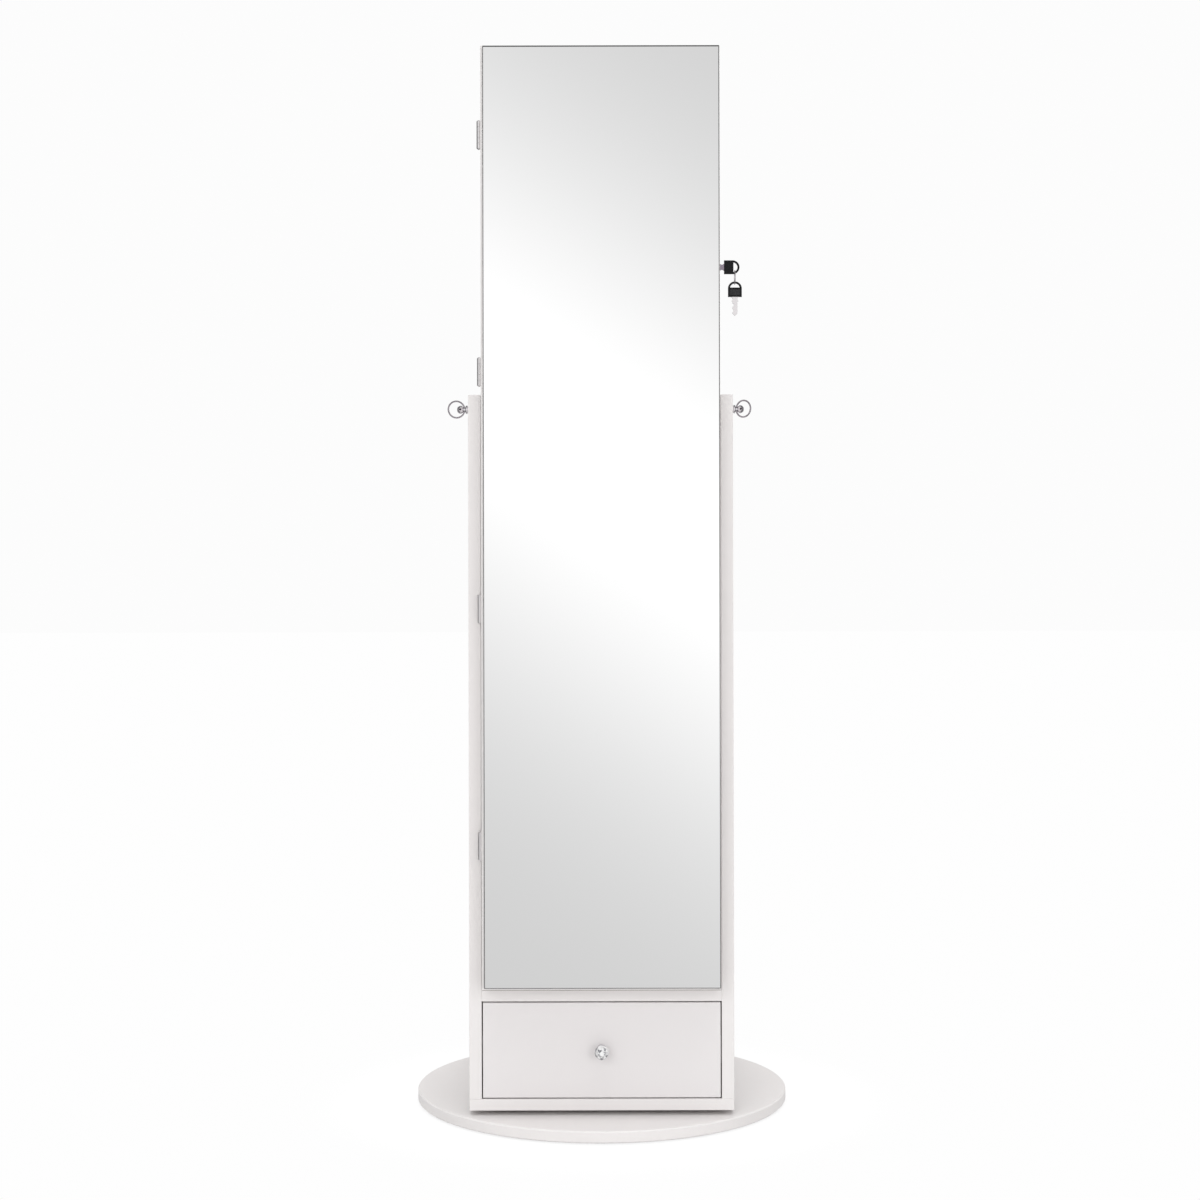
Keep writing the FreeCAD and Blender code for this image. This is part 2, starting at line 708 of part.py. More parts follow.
def drawer_slides():
    """A fixed channel on each side panel, and inside it the runner that the drawer carries."""
    low = room_base + dim.slide_lift
    high = low + dim.slide_height
    fit = dim.slide_sheet + dim.seat_gap
    drawer_side = half_room - dim.slide_room
    fixed = [channel(name, side, half_room, half_room - dim.slide_lip, low, high)
             for name, side in (("left_channel", -1), ("right_channel", 1))]
    moving = [channel(name, side, drawer_side, drawer_side + dim.slide_lip, low + fit, high - fit)
              for name, side in (("left_runner", -1), ("right_runner", 1))]
    group("drawer_channels", fixed)
    group("drawer_runners", moving)


def pivot_spacers():
    """A flat ring round each pivot screw, between the upright and the cabinet."""
    body = new_body("pivot_spacers")
    thick = half_room - half_cabinet - 2 * dim.spacer_gap
    sketch = sketch_on(body, "XY_Plane")
    circle(sketch, dim.spacer_dia / 2)
    circle(sketch, dim.screw_dia / 2 + dim.run_gap)
    pad(body, sketch, thick)
    repeat_along(body, "Z_Axis", dim.cabinet_width + 2 * dim.spacer_gap + thick, sized(2))
    place(body, -half_room + dim.spacer_gap, pivot_y, pivot_z, TO_RIGHT)
    keep("pivot_spacers", body)


# ---------------------------------------------------------------------------------------------
# Pivot screws with their loose rings.
def pivot_screw(label, x, rotation):
    """Turned screw: shank, flared collar on the upright, neck with the ring's hole, ball head."""
    body = new_body(label)
    shank = dim.screw_dia / 2
    length = dim.side_thick + (half_room - half_cabinet) + dim.wall_thick + dim.screw_reach
    collar = dim.collar_dia / 2
    neck = dim.neck_dia / 2
    waist = dim.collar_length / 2
    head_end = dim.neck_end + dim.head_length
    head_widest = dim.neck_end + dim.head_length / 2
    head = dim.head_dia / 2
    shoulder = neck * 0.8
    revolve(body, (
        (0, -length),
        (shank * 0.8, -length),
        (shank, -length + shank * 0.2),
        (shank, dim.spacer_gap),
        (dim.collar_base_dia / 2, dim.spacer_gap),
        (dim.collar_base_dia / 2, waist),
        (collar, waist + (collar - dim.collar_base_dia / 2)),
        (collar, dim.collar_length),
        (neck, dim.neck_start),
        (neck, dim.neck_end),
        (head, head_widest, head * 1.1),
        (shoulder, head_end, head * 1.1),
        (0, head_end),
    ))
    bore(body, "YZ_Plane", dim.cross_hole_dia / 2, 0, dim.ring_reach)
    place(body, x, pivot_y, pivot_z, rotation)
    keep(label, body)


def pull_ring(label, side, yaw):
    """A round wire ring whose wire passes down through the screw's cross hole."""
    ring = doc.addObject("Part::Torus", label)
    bind(ring, "Radius1", dim.ring_dia / 2)
    bind(ring, "Radius2", dim.ring_wire / 2)
    reach = dim.ring_dia / 2 - dim.ring_offset
    turn = Rotation(Vector(0, 0, 1), -side * yaw.number)
    x = side * (half_box + dim.ring_reach + reach * cosine(yaw))
    place(ring, x, pivot_y - reach * sine(yaw), pivot_z, turn * TO_FRONT)
    keep(label, ring)


# ---------------------------------------------------------------------------------------------
# Cabinet behind the door.
def cabinet_shell():
    """Sides bored for the pivot inserts, the right one for the lock too; top, bottom and back."""
    across = (-half_inside, half_inside)
    deep = (cabinet_front, cabinet_rear)
    tall = (cabinet_base, cabinet_roof)
    insert_hole = ("YZ_Plane", dim.insert_dia / 2 + dim.run_gap, pivot_y, pivot_z - cabinet_base)
    lock_hole = ("YZ_Plane", dim.barrel_dia / 2 + dim.run_gap, lock_y, dim.lock_rise)
    board("cabinet_left_side", (-half_cabinet, -half_inside), deep, tall, [insert_hole])
    board("cabinet_right_side", (half_inside, half_cabinet), deep, tall, [insert_hole, lock_hole])
    board("cabinet_top", across, deep, (cabinet_ceiling, cabinet_roof))
    board("cabinet_bottom", across, deep, (cabinet_base, cabinet_floor))
    keep("cabinet_back", block("cabinet_back", across, (lining_face, cabinet_rear),
                               (cabinet_floor, cabinet_ceiling)))


def shelves():
    """Three shelves against the back, each with a clear guard along its front, and one on the floor."""
    across = (-half_inside, half_inside)
    shelf_front = lining_face - dim.shelf_depth
    guard = (shelf_front - dim.guard_thick, shelf_front)
    deep = (shelf_front, lining_face)
    boards = []
    guards = [block("floor_guard", across, guard, (cabinet_floor, cabinet_floor + dim.guard_rise))]
    for name, rise in (("low", dim.shelf_low), ("mid", dim.shelf_mid), ("high", dim.shelf_high)):
        top = cabinet_floor + rise
        low = top - dim.shelf_thick
        boards.append(block(f"{name}_shelf", across, deep, (low, top)))
        guards.append(block(f"{name}_guard", across, guard, (low, top + dim.guard_rise)))
    group("shelves", boards)
    group("shelf_guards", guards)


def necklace_rail():
    """A wooden rail under the cabinet's top, with a row of turned pegs."""
    rail_top = cabinet_ceiling - dim.peg_rail_drop
    rail_front = lining_face - dim.peg_rail_thick
    board("peg_rail", (-half_inside, half_inside), (rail_front, lining_face),
          (rail_top - dim.peg_rail_height, rail_top))
    body = new_body("necklace_pegs")
    shank = dim.peg_radius
    flange = dim.peg_flange
    end = dim.peg_length
    revolve(body, (
        (0, 0),
        (shank, 0),
        (shank, end - flange),
        (flange, end - flange / 2),
        (flange, end),
        (0, end),
    ))
    repeat_along(body, "X_Axis", dim.peg_pitch, dim.peg_count)
    first_x = -dim.peg_pitch * (dim.peg_count - 1) / 2
    place(body, first_x, rail_front, rail_top - dim.peg_rail_height / 2, TO_FRONT)
    keep("necklace_pegs", body)


def ring_cushion():
    """A stack of soft rolls that rings are pushed between, upright on the high shelf."""
    body = new_body("ring_cushion")
    sketch = sketch_on(body, "YZ_Plane")
    back = lining_face - dim.soft_gap
    valley = back - dim.roll_base
    top = dim.roll_pitch * dim.roll_count
    corners = [(back, 0), (back, top), (valley, top)]
    corners += [(valley, top - dim.roll_pitch * step, dim.roll_radius)
                for step in range(1, int(dim.roll_count.number) + 1)]
    outline(sketch, corners)
    pad(body, sketch, 2 * (half_inside - dim.soft_gap), both_ways=True)
    place(body, z=cabinet_floor + dim.shelf_high + dim.soft_gap)
    keep("ring_cushion", body)


def earring_plate():
    """A slotted plate on two upright cleats."""
    low = cabinet_floor + dim.shelf_mid + dim.earring_lift
    high = low + dim.earring_height
    cleat_front = lining_face - dim.cleat_size
    cleats = []
    for name, side in (("left_cleat", -1), ("right_cleat", 1)):
        edges = (half_inside - dim.cleat_size, half_inside)
        x = edges if side > 0 else (-edges[1], -edges[0])
        cleats.append(block(name, x, (cleat_front, lining_face), (low, high)))
    group("earring_cleats", cleats)

    body = new_body("earring_plate")
    half = half_inside - dim.earring_margin
    sketch = sketch_on(body, "XZ_Plane")
    rectangle(sketch, (-half, half), (0, dim.earring_height))
    pad(body, sketch, dim.earring_thick)
    slot = sketch_on(body, "XZ_Plane")
    first_u = -dim.slot_column_pitch * (dim.slot_columns - 1) / 2
    first_v = (dim.earring_height - dim.slot_row_pitch * (dim.slot_rows - 1)) / 2
    rectangle(slot, (first_u - dim.slot_width / 2, first_u + dim.slot_width / 2),
              (first_v - dim.slot_height / 2, first_v + dim.slot_height / 2))
    cut = pocket(body, slot)
    slots = body.newObject("PartDesign::LinearPattern", "earring_plate_slots")
    slots.Originals = [cut]
    slots.Direction = (origin_part(body, "X_Axis"), [""])
    slots.Direction2 = (origin_part(body, "Z_Axis"), [""])
    slots.Mode = "Spacing"
    slots.Mode2 = "Spacing"
    bind(slots, "Offset", dim.slot_column_pitch)
    bind(slots, "Occurrences", dim.slot_columns)
    bind(slots, "Offset2", dim.slot_row_pitch)
    bind(slots, "Occurrences2", dim.slot_rows)
    body.Tip = slots
    place(body, y=cleat_front, z=low)
    keep("earring_plate", body)


def bracelet_rod():
    rod = doc.addObject("Part::Cylinder", "bracelet_rod")
    bind(rod, "Radius", dim.rod_dia / 2)
    bind(rod, "Height", 2 * half_inside)
    place(rod, -half_inside, lining_face - dim.shelf_depth / 2,
          cabinet_floor + dim.shelf_mid - dim.shelf_thick - dim.rod_drop, TO_RIGHT)
    keep("bracelet_rod", rod)


def pivot_inserts():
    """A threaded metal insert in each cabinet side, for the pivot screws."""
    body = new_body("pivot_inserts")
    sketch = sketch_on(body, "XY_Plane")
    circle(sketch, dim.insert_dia / 2)
    circle(sketch, dim.screw_dia / 2 + dim.run_gap)
    pad(body, sketch, dim.wall_thick)
    repeat_along(body, "Z_Axis", dim.cabinet_width - dim.wall_thick, sized(2))
    place(body, -half_cabinet, pivot_y, pivot_z, TO_RIGHT)
    keep("pivot_inserts", body)


# ---------------------------------------------------------------------------------------------
# Hinges: four butt hinges down the left edge.
def hinge_leaves(label, side, knuckles):
    """One hinge half, repeated up the door: a flat leaf and its share of the knuckles.

    side is 1 for the leaf behind the pin's axis, on the cabinet, and -1 for the one on the door.
    """
    body = new_body(label)
    near = side * dim.leaf_clear
    far = side * dim.hinge_gap / 2
    pitch = dim.leaf_height / dim.knuckle_count
    reach = dim.knuckle_radius + dim.leaf_clear
    leaf = sketch_on(body, "XY_Plane")
    rectangle(leaf, (reach, dim.leaf_width), (near, far))
    pad(body, leaf, dim.leaf_height)
    for index in knuckles:
        low = pitch * index + dim.knuckle_gap / 2
        web = sketch_on(body, "XY_Plane", low)
        rectangle(web, (dim.pin_radius + dim.run_gap, reach), (near, far))
        pad(body, web, pitch - dim.knuckle_gap)
        barrel = sketch_on(body, "XY_Plane", low)
        circle(barrel, dim.knuckle_radius)
        circle(barrel, dim.pin_radius + dim.run_gap)
        pad(body, barrel, pitch - dim.knuckle_gap)
    repeat_along(body, "Z_Axis", dim.hinge_pitch, dim.hinge_count)
    place(body, hinge_x, hinge_y, cabinet_base + dim.hinge_first - dim.leaf_height / 2)
    keep(label, body)


def hinge_pins():
    """A pin through each hinge, with a domed cap at both ends."""
    body = new_body("hinge_pins")
    pin = dim.pin_radius
    cap = dim.pin_radius * 1.7
    tall = dim.leaf_height
    revolve(body, (
        (0, -pin),
        (pin, -pin),
        (cap, -pin * 0.4),
        (cap, 0),
        (pin, 0),
        (pin, tall),
        (cap, tall),
        (cap, tall + pin * 0.4),
        (pin, tall + pin),
        (0, tall + pin),
    ))
    repeat_along(body, "Z_Axis", dim.hinge_pitch, dim.hinge_count)
    place(body, hinge_x, hinge_y, cabinet_base + dim.hinge_first - tall / 2)
    keep("hinge_pins", body)


# ---------------------------------------------------------------------------------------------
# Door: a panel on a frame, with the mirror bonded to its front.
def door():
    edge = (-half_cabinet, half_cabinet)
    tall = (cabinet_base, cabinet_roof)
    board("door_panel", edge, (panel_front, panel_back), tall)
    stile_inner = half_cabinet - dim.frame_width
    deep = (panel_back, door_back)
    group("door_stiles", [
        block("left_stile", (-half_cabinet, -stile_inner), deep, tall),
        block("right_stile", (stile_inner, half_cabinet), deep, tall),
    ])
    between = (-stile_inner, stile_inner)
    group("door_rails", [
        block("low_rail", between, deep, (cabinet_base, cabinet_base + dim.frame_width)),
        block("high_rail", between, deep, (cabinet_roof - dim.frame_width, cabinet_roof)),
    ])


def mirror():
    """The mirror glass, with a narrow ground arris round its front."""
    body = new_body("mirror_glass")
    left = -half_cabinet + dim.mirror_inset
    top = cabinet_roof - dim.mirror_drop
    sketch = sketch_on(body, "XZ_Plane")
    rectangle(sketch, (left, left + dim.mirror_width), (0, dim.mirror_height))
    glass = pad(body, sketch, dim.mirror_thick)

    def on_front(edge):
        return abs(edge.BoundBox.YMin + dim.mirror_thick.number) < 1e-3 and edge.BoundBox.YLength < 1e-3

    dress(body, "Chamfer", glass, on_front, dim.mirror_arris)
    place(body, y=panel_front, z=top - dim.mirror_height)
    keep("mirror_glass", body)


# ---------------------------------------------------------------------------------------------
# Lock and keys.
def lock_barrel():
    body = new_body("lock_barrel")
    hole = dim.plug_dia / 2 + dim.run_gap
    barrel = dim.barrel_dia / 2
    flange = dim.lock_flange_dia / 2
    lip = dim.lock_flange_thick
    revolve(body, (
        (hole, -dim.barrel_length),
        (barrel, -dim.barrel_length),
        (barrel, 0),
        (flange, 0),
        (flange, lip / 2),
        (flange - lip / 2, lip),
        (hole, lip),
    ))
    place(body, half_cabinet, lock_y, lock_z, TO_RIGHT)
    keep("lock_barrel", body)
    hex_nut("lock_nut", dim.lock_nut_radius, dim.barrel_dia / 2, dim.lock_nut_thick,
            half_inside - dim.lock_nut_thick, lock_y, lock_z, TO_RIGHT)


def lock_plug():
    """The turning plug: a slotted cylinder with a square tail that drives the cam."""
    body = new_body("lock_plug")
    sketch = sketch_on(body, "XY_Plane")
    circle(sketch, dim.plug_dia / 2)
    length = dim.barrel_length + dim.lock_flange_thick
    pad(body, sketch, length)
    tail = sketch_on(body, "XY_Plane", -dim.plug_tail)
    half = dim.tail_size / 2
    rectangle(tail, (-half, half), (-half, half))
    pad(body, tail, dim.plug_tail)
    slot = sketch_on(body, "XY_Plane", length)
    half_tall = dim.blade_width / 2 + dim.keyway_slack
    half_wide = dim.key_thick / 2 + dim.keyway_slack
    rectangle(slot, (-half_tall, half_tall), (-half_wide, half_wide))
    pocket(body, slot, dim.keyway_depth)
    place(body, half_cabinet - dim.barrel_length, lock_y, lock_z, TO_RIGHT)
    keep("lock_plug", body)


def lock_cam():
    """A flat lever on the plug's tail; it points to the front until the key is turned."""
    body = new_body("lock_cam")
    half = dim.cam_width / 2
    sketch = sketch_on(body, "XY_Plane")
    end = half - dim.cam_length
    outline(sketch, ((half, 0), (-half, 0, half), (-half, end), (half, end, half)))
    pad(body, sketch, dim.cam_thick)
    hole = sketch_on(body, "XY_Plane")
    grip = dim.tail_size / 2
    rectangle(hole, (-grip, grip), (-grip, grip))
    pocket(body, hole)
    place(body, half_cabinet - dim.barrel_length - dim.seat_gap - dim.cam_thick, lock_y, lock_z, TO_RIGHT)
    keep("lock_cam", body)


def key(label, x, z, rotation):
    """A key: flat notched blade with a waisted neck, and a D-shaped plastic bow moulded on it."""
    blade = new_body(label + "_blade")
    half = dim.blade_width / 2
    shoulder = dim.shoulder_width / 2
    neck = -dim.shoulder_length
    tip = neck - dim.blade_length
    bite = dim.blade_length / 8
    notch = half * 0.45
    corners = [(0, -shoulder), (0, shoulder), (neck / 2, half * 0.9), (neck, shoulder), (neck, half)]
    corners += [(neck - bite, half), (neck - bite * 1.5, notch), (neck - bite * 2.5, notch)]
    corners += [(neck - bite * 3, half), (neck - bite * 4, half), (neck - bite * 4.5, notch * 1.4)]
    corners += [(neck - bite * 5.5, notch * 1.4), (neck - bite * 6, half), (tip + half, half)]
    corners += [(tip, 0), (tip + half, -half), (neck, -half), (neck, -shoulder), (neck / 2, -half * 0.9)]
    sketch = sketch_on(blade, "XZ_Plane")
    outline(sketch, corners)
    pad(blade, sketch, dim.key_thick, both_ways=True)

    bow = new_body(label + "_bow")
    wide = dim.bow_width / 2
    centre = dim.bow_length - wide
    inner = wide - dim.bow_rim
    chord = root(inner * inner - (dim.bow_web - centre) * (dim.bow_web - centre))
    face = sketch_on(bow, "XZ_Plane")
    outline(face, ((0, wide), (0, -wide), (centre, -wide), (centre, wide, wide)))
    outline(face, ((dim.bow_web, -chord), (dim.bow_web, chord, inner)))
    slab = pad(bow, face, dim.bow_thick, both_ways=True)
    dress(bow, "Chamfer", slab, lambda edge: edge.BoundBox.YLength < 1e-3, dim.bow_ease)
    for lift, turned in ((dim.bow_thick / 2, False), (-dim.bow_thick / 2, True)):
        panel = sketch_on(bow, "XZ_Plane", lift)
        margin = dim.bow_rim * 0.8
        rectangle(panel, (margin, dim.bow_web - margin), (margin - wide, wide - margin))
        recess = pocket(bow, panel, dim.bow_recess)
        recess.Reversed = turned
    for part, suffix in ((blade, "_blade"), (bow, "_bow")):
        place(part, x, lock_y, z, rotation)
        keep(label + suffix, part)


def keys():
    """The key in the lock, a wire ring round its bow's lower rim, and the spare key on that ring."""
    key_x = half_cabinet + dim.key_reach
    ring_x = key_x + dim.ring_station
    key("key", key_x, lock_z, Rotation())

    inner = dim.bow_width / 2 - dim.bow_rim
    off_centre = dim.ring_station - (dim.bow_length - dim.bow_width / 2)
    rim_top = lock_z - root(inner * inner - off_centre * off_centre)
    ring_z = rim_top + dim.key_ring_slack + dim.key_ring_wire / 2 - dim.key_ring_dia / 2
    ring = doc.addObject("Part::Torus", "key_ring")
    bind(ring, "Radius1", dim.key_ring_dia / 2)
    bind(ring, "Radius2", dim.key_ring_wire / 2)
    place(ring, ring_x, lock_y, ring_z, TO_RIGHT)
    keep("key_ring", ring)

    hole_top = ring_z - dim.key_ring_dia / 2 + dim.key_ring_wire / 2 + dim.soft_gap
    key("spare_key", ring_x, hole_top - (dim.bow_length - dim.bow_rim), TO_LEFT)


def lock_strike():
    """A bent plate on the door's right stile; the turned cam stands up through its window."""
    body = new_body("lock_strike")
    stile_inner = half_cabinet - dim.frame_width
    cam_low = half_cabinet - dim.barrel_length - dim.seat_gap - dim.cam_thick
    window_x = (cam_low - dim.strike_slack, cam_low + dim.cam_thick + dim.strike_slack)
    window_y = (lock_y - dim.cam_length, lock_y + dim.cam_width / 2 + dim.strike_slack)
    bridge = 2 * dim.strike_thick
    tongue = sketch_on(body, "XY_Plane")
    rectangle(tongue, (window_x[0] - bridge, stile_inner), (panel_back + bridge, window_y[1] + bridge))
    rectangle(tongue, window_x, window_y)
    pad(body, tongue, dim.strike_thick)
    flange = sketch_on(body, "XY_Plane")
    rectangle(flange, (stile_inner - dim.strike_thick, stile_inner), (panel_back + bridge, door_back))
    pad(body, flange, dim.strike_height)
    place(body, z=lock_z + dim.strike_lift)
    keep("lock_strike", body)


# ---------------------------------------------------------------------------------------------
# Drawer with its crystal knob.
def drawer_box():
    side_outer = half_room - dim.slide_room
    side_inner = side_outer - dim.drawer_wall
    front_inner = front + dim.drawer_front_thick
    length = (front_inner, front_inner + dim.drawer_length)
    low = room_base + dim.drawer_side_lift
    high = low + dim.drawer_side_height
    floor_low = room_base + dim.drawer_floor_lift
    floor_top = floor_low + dim.drawer_floor_thick
    front_low = room_base + dim.drawer_gap
    screw_hole = ("XZ_Plane", dim.knob_screw_dia / 2 + dim.run_gap, 0, knob_z - front_low)
    board("drawer_front", (dim.drawer_gap - half_room, half_room - dim.drawer_gap), (front, front_inner),
          (front_low, room_top - dim.drawer_gap), [screw_hole])
    group("drawer_sides", [
        block("left_drawer_side", (-side_outer, -side_inner), length, (low, high)),
        block("right_drawer_side", (side_inner, side_outer), length, (low, high)),
    ])
    across = (-side_inner, side_inner)
    keep("drawer_floor", block("drawer_floor", across, length, (floor_low, floor_top)))
    rear_wall = (length[1] - dim.drawer_wall, length[1])
    keep("drawer_back", block("drawer_back", across, rear_wall, (floor_top, high)))


def facets(name, turn, profile):
    """A many-sided stone between (radius, height) girdles of eight corners, turned by some degrees."""
    sections = []
    for radius, height in profile:
        girdle = doc.addObject("Part::RegularPolygon", name + "_girdle")
        girdle.Polygon = 8
        bind(girdle, "Circumradius", radius)
        place(girdle, z=height, rotation=Rotation(Vector(0, 0, 1), turn))
        sections.append(girdle)
    stone = doc.addObject("Part::Loft", name)
    stone.Sections = sections
    stone.Solid = True
    stone.Ruled = True
    return stone


def knob():
    """Crystal knob: a faceted stone on a turned metal base, held by a screw through the drawer front."""
    stem = dim.knob_base_depth
    hole = dim.knob_screw_dia / 2
    foot = dim.knob_base_dia / 2
    grip = stem * 0.75
    base = new_body("knob_base")
    revolve(base, (
        (hole + dim.run_gap, 0),
        (foot, 0),
        (foot, stem * 0.15),
        (foot * 0.55, stem * 0.4),
        (foot * 0.55, stem * 0.7),
        (foot * 0.8, stem),
        (0, stem),
        (0, grip),
        (hole + dim.run_gap, grip),
    ))
    place(base, 0, front, knob_z, TO_FRONT)
    keep("knob_base", base)

    radius = dim.knob_dia / 2
    deep = dim.knob_depth
    main_girdles = ((foot * 0.78, 0), (radius, deep * 0.5), (radius, deep * 0.6), (radius * 0.62, deep))
    star_girdles = ((foot * 0.9, 0), (radius, deep * 0.42), (radius, deep * 0.68), (radius * 0.5, deep))
    stone = doc.addObject("Part::MultiCommon", "knob_crystal")
    stone.Shapes = [facets("knob_mains", 0, main_girdles), facets("knob_stars", 22.5, star_girdles)]
    place(stone, 0, front - stem, knob_z, TO_FRONT)
    keep("knob_crystal", stone)

    screw = new_body("knob_screw")
    head = dim.knob_screw_head / 2
    under = -dim.drawer_front_thick
    revolve(screw, (
        (0, under - hole),
        (head * 0.7, under - hole),
        (head, under - hole * 0.4),
        (head, under),
        (hole, under),
        (hole, grip - dim.seat_gap),
        (0, grip - dim.seat_gap),
    ))
    place(screw, 0, front, knob_z, TO_FRONT)
    keep("knob_screw", screw)


# ---------------------------------------------------------------------------------------------
def build():
    floor_disc()
    floor_pads()
    swivel_plate("swivel_lower_plate", disc_top, Rotation())
    swivel_plate("swivel_upper_plate", box_base, UPSIDE_DOWN)
    swivel_balls()
    ball_cage()
    swivel_fixing()
    box_boards()
    side_panel("left_side_panel", -half_box)
    side_panel("right_side_panel", half_room)
    cross_rail()
    drawer_slides()
    pivot_spacers()
    pivot_screw("left_pivot_screw", -half_box, TO_LEFT)
    pivot_screw("right_pivot_screw", half_box, TO_RIGHT)
    pull_ring("left_pull_ring", -1, dim.left_ring_yaw)
    pull_ring("right_pull_ring", 1, dim.right_ring_yaw)
    cabinet_shell()
    shelves()
    necklace_rail()
    ring_cushion()
    earring_plate()
    bracelet_rod()
    pivot_inserts()
    knuckles = range(int(dim.knuckle_count.number))
    hinge_leaves("cabinet_hinge_leaves", 1, knuckles[0::2])
    hinge_leaves("door_hinge_leaves", -1, knuckles[1::2])
    hinge_pins()
    door()
    mirror()
    lock_barrel()
    lock_plug()
    lock_cam()
    lock_strike()
    keys()
    drawer_box()
    knob()
    doc.recompute()


def check():
    """Stops on any feature that failed and on any sub-part without a sound solid."""
    failed = [item.Label for item in doc.Objects if {"Invalid", "Error"} & set(item.State)]
    if failed:
        raise RuntimeError("failed features: " + ", ".join(failed))
    for label, item in subparts.items():
        shape = item.Shape
        if shape.isNull() or not shape.isValid() or not shape.Solids:
            raise RuntimeError("no sound solid in " + label)


def export():
    os.makedirs("parts", exist_ok=True)
    for label, item in subparts.items():
        item.Shape.exportStep(f"parts/{label}.step")
    print(len(subparts), "sub-parts written")


build()
check()
export()
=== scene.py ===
import math

import bmesh
import bpy
import numpy as np
from mathutils import Matrix, Vector


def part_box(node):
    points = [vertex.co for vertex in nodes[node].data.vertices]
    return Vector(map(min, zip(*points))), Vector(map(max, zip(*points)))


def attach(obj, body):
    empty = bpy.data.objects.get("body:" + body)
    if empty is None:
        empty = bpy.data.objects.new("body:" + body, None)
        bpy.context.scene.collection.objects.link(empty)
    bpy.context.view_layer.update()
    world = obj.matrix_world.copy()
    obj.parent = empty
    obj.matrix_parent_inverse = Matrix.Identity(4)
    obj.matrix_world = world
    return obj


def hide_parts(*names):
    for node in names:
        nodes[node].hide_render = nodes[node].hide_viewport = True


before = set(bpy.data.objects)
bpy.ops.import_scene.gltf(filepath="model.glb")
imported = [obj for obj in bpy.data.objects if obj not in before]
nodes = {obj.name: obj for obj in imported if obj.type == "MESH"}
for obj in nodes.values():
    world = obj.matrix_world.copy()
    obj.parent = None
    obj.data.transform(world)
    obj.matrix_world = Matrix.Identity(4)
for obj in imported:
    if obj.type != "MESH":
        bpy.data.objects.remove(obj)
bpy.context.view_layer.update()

# ------------------------------------------------------------------------------------------------
# Camera and studio. A long lens stands level in front of the mirror, two and three quarter metres
# from the swivel's axis. The studio is a white floor under a pale room with three soft lamps.
lens = bpy.data.cameras.new("studio_lens")
lens.sensor_width = 36
lens.lens = 60
camera = bpy.data.objects.new("studio_camera", lens)
bpy.context.scene.collection.objects.link(camera)
camera.matrix_world = (Matrix.Translation((-0.0011, -2.736, 0.678))
                       @ Matrix.Rotation(math.radians(90), 4, "X")
                       @ Matrix.Rotation(math.radians(-0.12), 4, "Z"))
bpy.context.scene.camera = camera
bpy.context.scene.view_settings.view_transform = "Standard"


class Wire:
    """One socket of a node tree. Arithmetic on it adds Math nodes, and add() adds any other node."""

    def __init__(self, tree, socket=None):
        self.tree = tree
        self.socket = socket

    def add(self, kind, settings=None, sockets=None, output=0):
        """A new node: its settings first, then the values or links of its sockets."""
        node = self.tree.nodes.new("ShaderNode" + kind)
        for name, value in (settings or {}).items():
            setattr(node, name, value)
        for key, value in (sockets or {}).items():
            if isinstance(value, Wire):
                self.tree.links.new(value.socket, node.inputs[key])
            else:
                node.inputs[key].default_value = value
        return Wire(self.tree, node.outputs[output] if node.outputs else None)

    def math(self, operation, *values):
        return self.add("Math", {"operation": operation}, dict(enumerate(values)))

    def __add__(self, other):
        return self.math("ADD", self, other)

    def __sub__(self, other):
        return self.math("SUBTRACT", self, other)

    def __rsub__(self, other):
        return self.math("SUBTRACT", other, self)

    def __mul__(self, other):
        return self.math("MULTIPLY", self, other)

    def __truediv__(self, other):
        return self.math("DIVIDE", self, other)

    def __abs__(self):
        return self.math("ABSOLUTE", self)

    def __gt__(self, other):
        return self.math("GREATER_THAN", self, other)

    def __lt__(self, other):
        return self.math("LESS_THAN", self, other)

    __radd__ = __add__
    __rmul__ = __mul__

    def axis(self, name):
        """One coordinate of this vector: X, Y or Z."""
        return self.add("SeparateXYZ", sockets={0: self}, output=name)

    def ease(self, start, end, low):
        """Rises smoothly from low, where this value is at start, to 1, where it is at end."""
        reach = {"Value": self, "From Min": start, "From Max": end, "To Min": low}
        return self.add("MapRange", {"interpolation_type": "SMOOTHSTEP"}, reach)

    def pick(self, low, high):
        """The colour low where this value is 0 and high where it is 1."""
        return self.add("Mix", {"data_type": "RGBA"}, {0: self, 6: low, 7: high}, output=2)


# The room: white to the eye, and to polished surfaces a pale grey that swells to white in one soft
# slanting pool behind the camera, which is what the mirror shows. Straight up and to the sides it is
# dimmer, which draws the turns of the chrome.
room = bpy.data.worlds.new("room")
room.use_nodes = True
room.node_tree.nodes.clear()
bpy.context.scene.world = room
air = Wire(room.node_tree)
way = air.add("TexCoord", output="Generated")
east, north, height = way.axis("X"), way.axis("Y"), way.axis("Z")
ahead = abs(north) + 0.02
pool_height, pool_slant, pool_width = 0.0695, 0.65, 0.15
slant = (height / ahead - pool_height + (east / ahead) * pool_slant) / pool_width
pool = air.math("EXPONENT", slant * slant * -1) * (north < 0)
plain_gloss, pool_gloss = 0.66, 0.45
seen_in_gloss = (plain_gloss + pool * pool_gloss) * abs(north).ease(0.25, 0.65, 0.2)
rays = air.add("LightPath", output="Is Camera Ray")
gloss = air.add("LightPath", output="Is Glossy Ray")
through = air.add("LightPath", output="Is Transmission Ray")
room_level, room_white, glass_extra = 0.62, 0.975, 0.3
unseen = gloss * seen_in_gloss + (1 - gloss) * (room_level + through * glass_extra)
level = rays * room_white + (1 - rays) * unseen
shine = air.add("Background", sockets={"Color": (1, 1, 1, 1), "Strength": level})
air.add("OutputWorld", sockets={"Surface": shine})

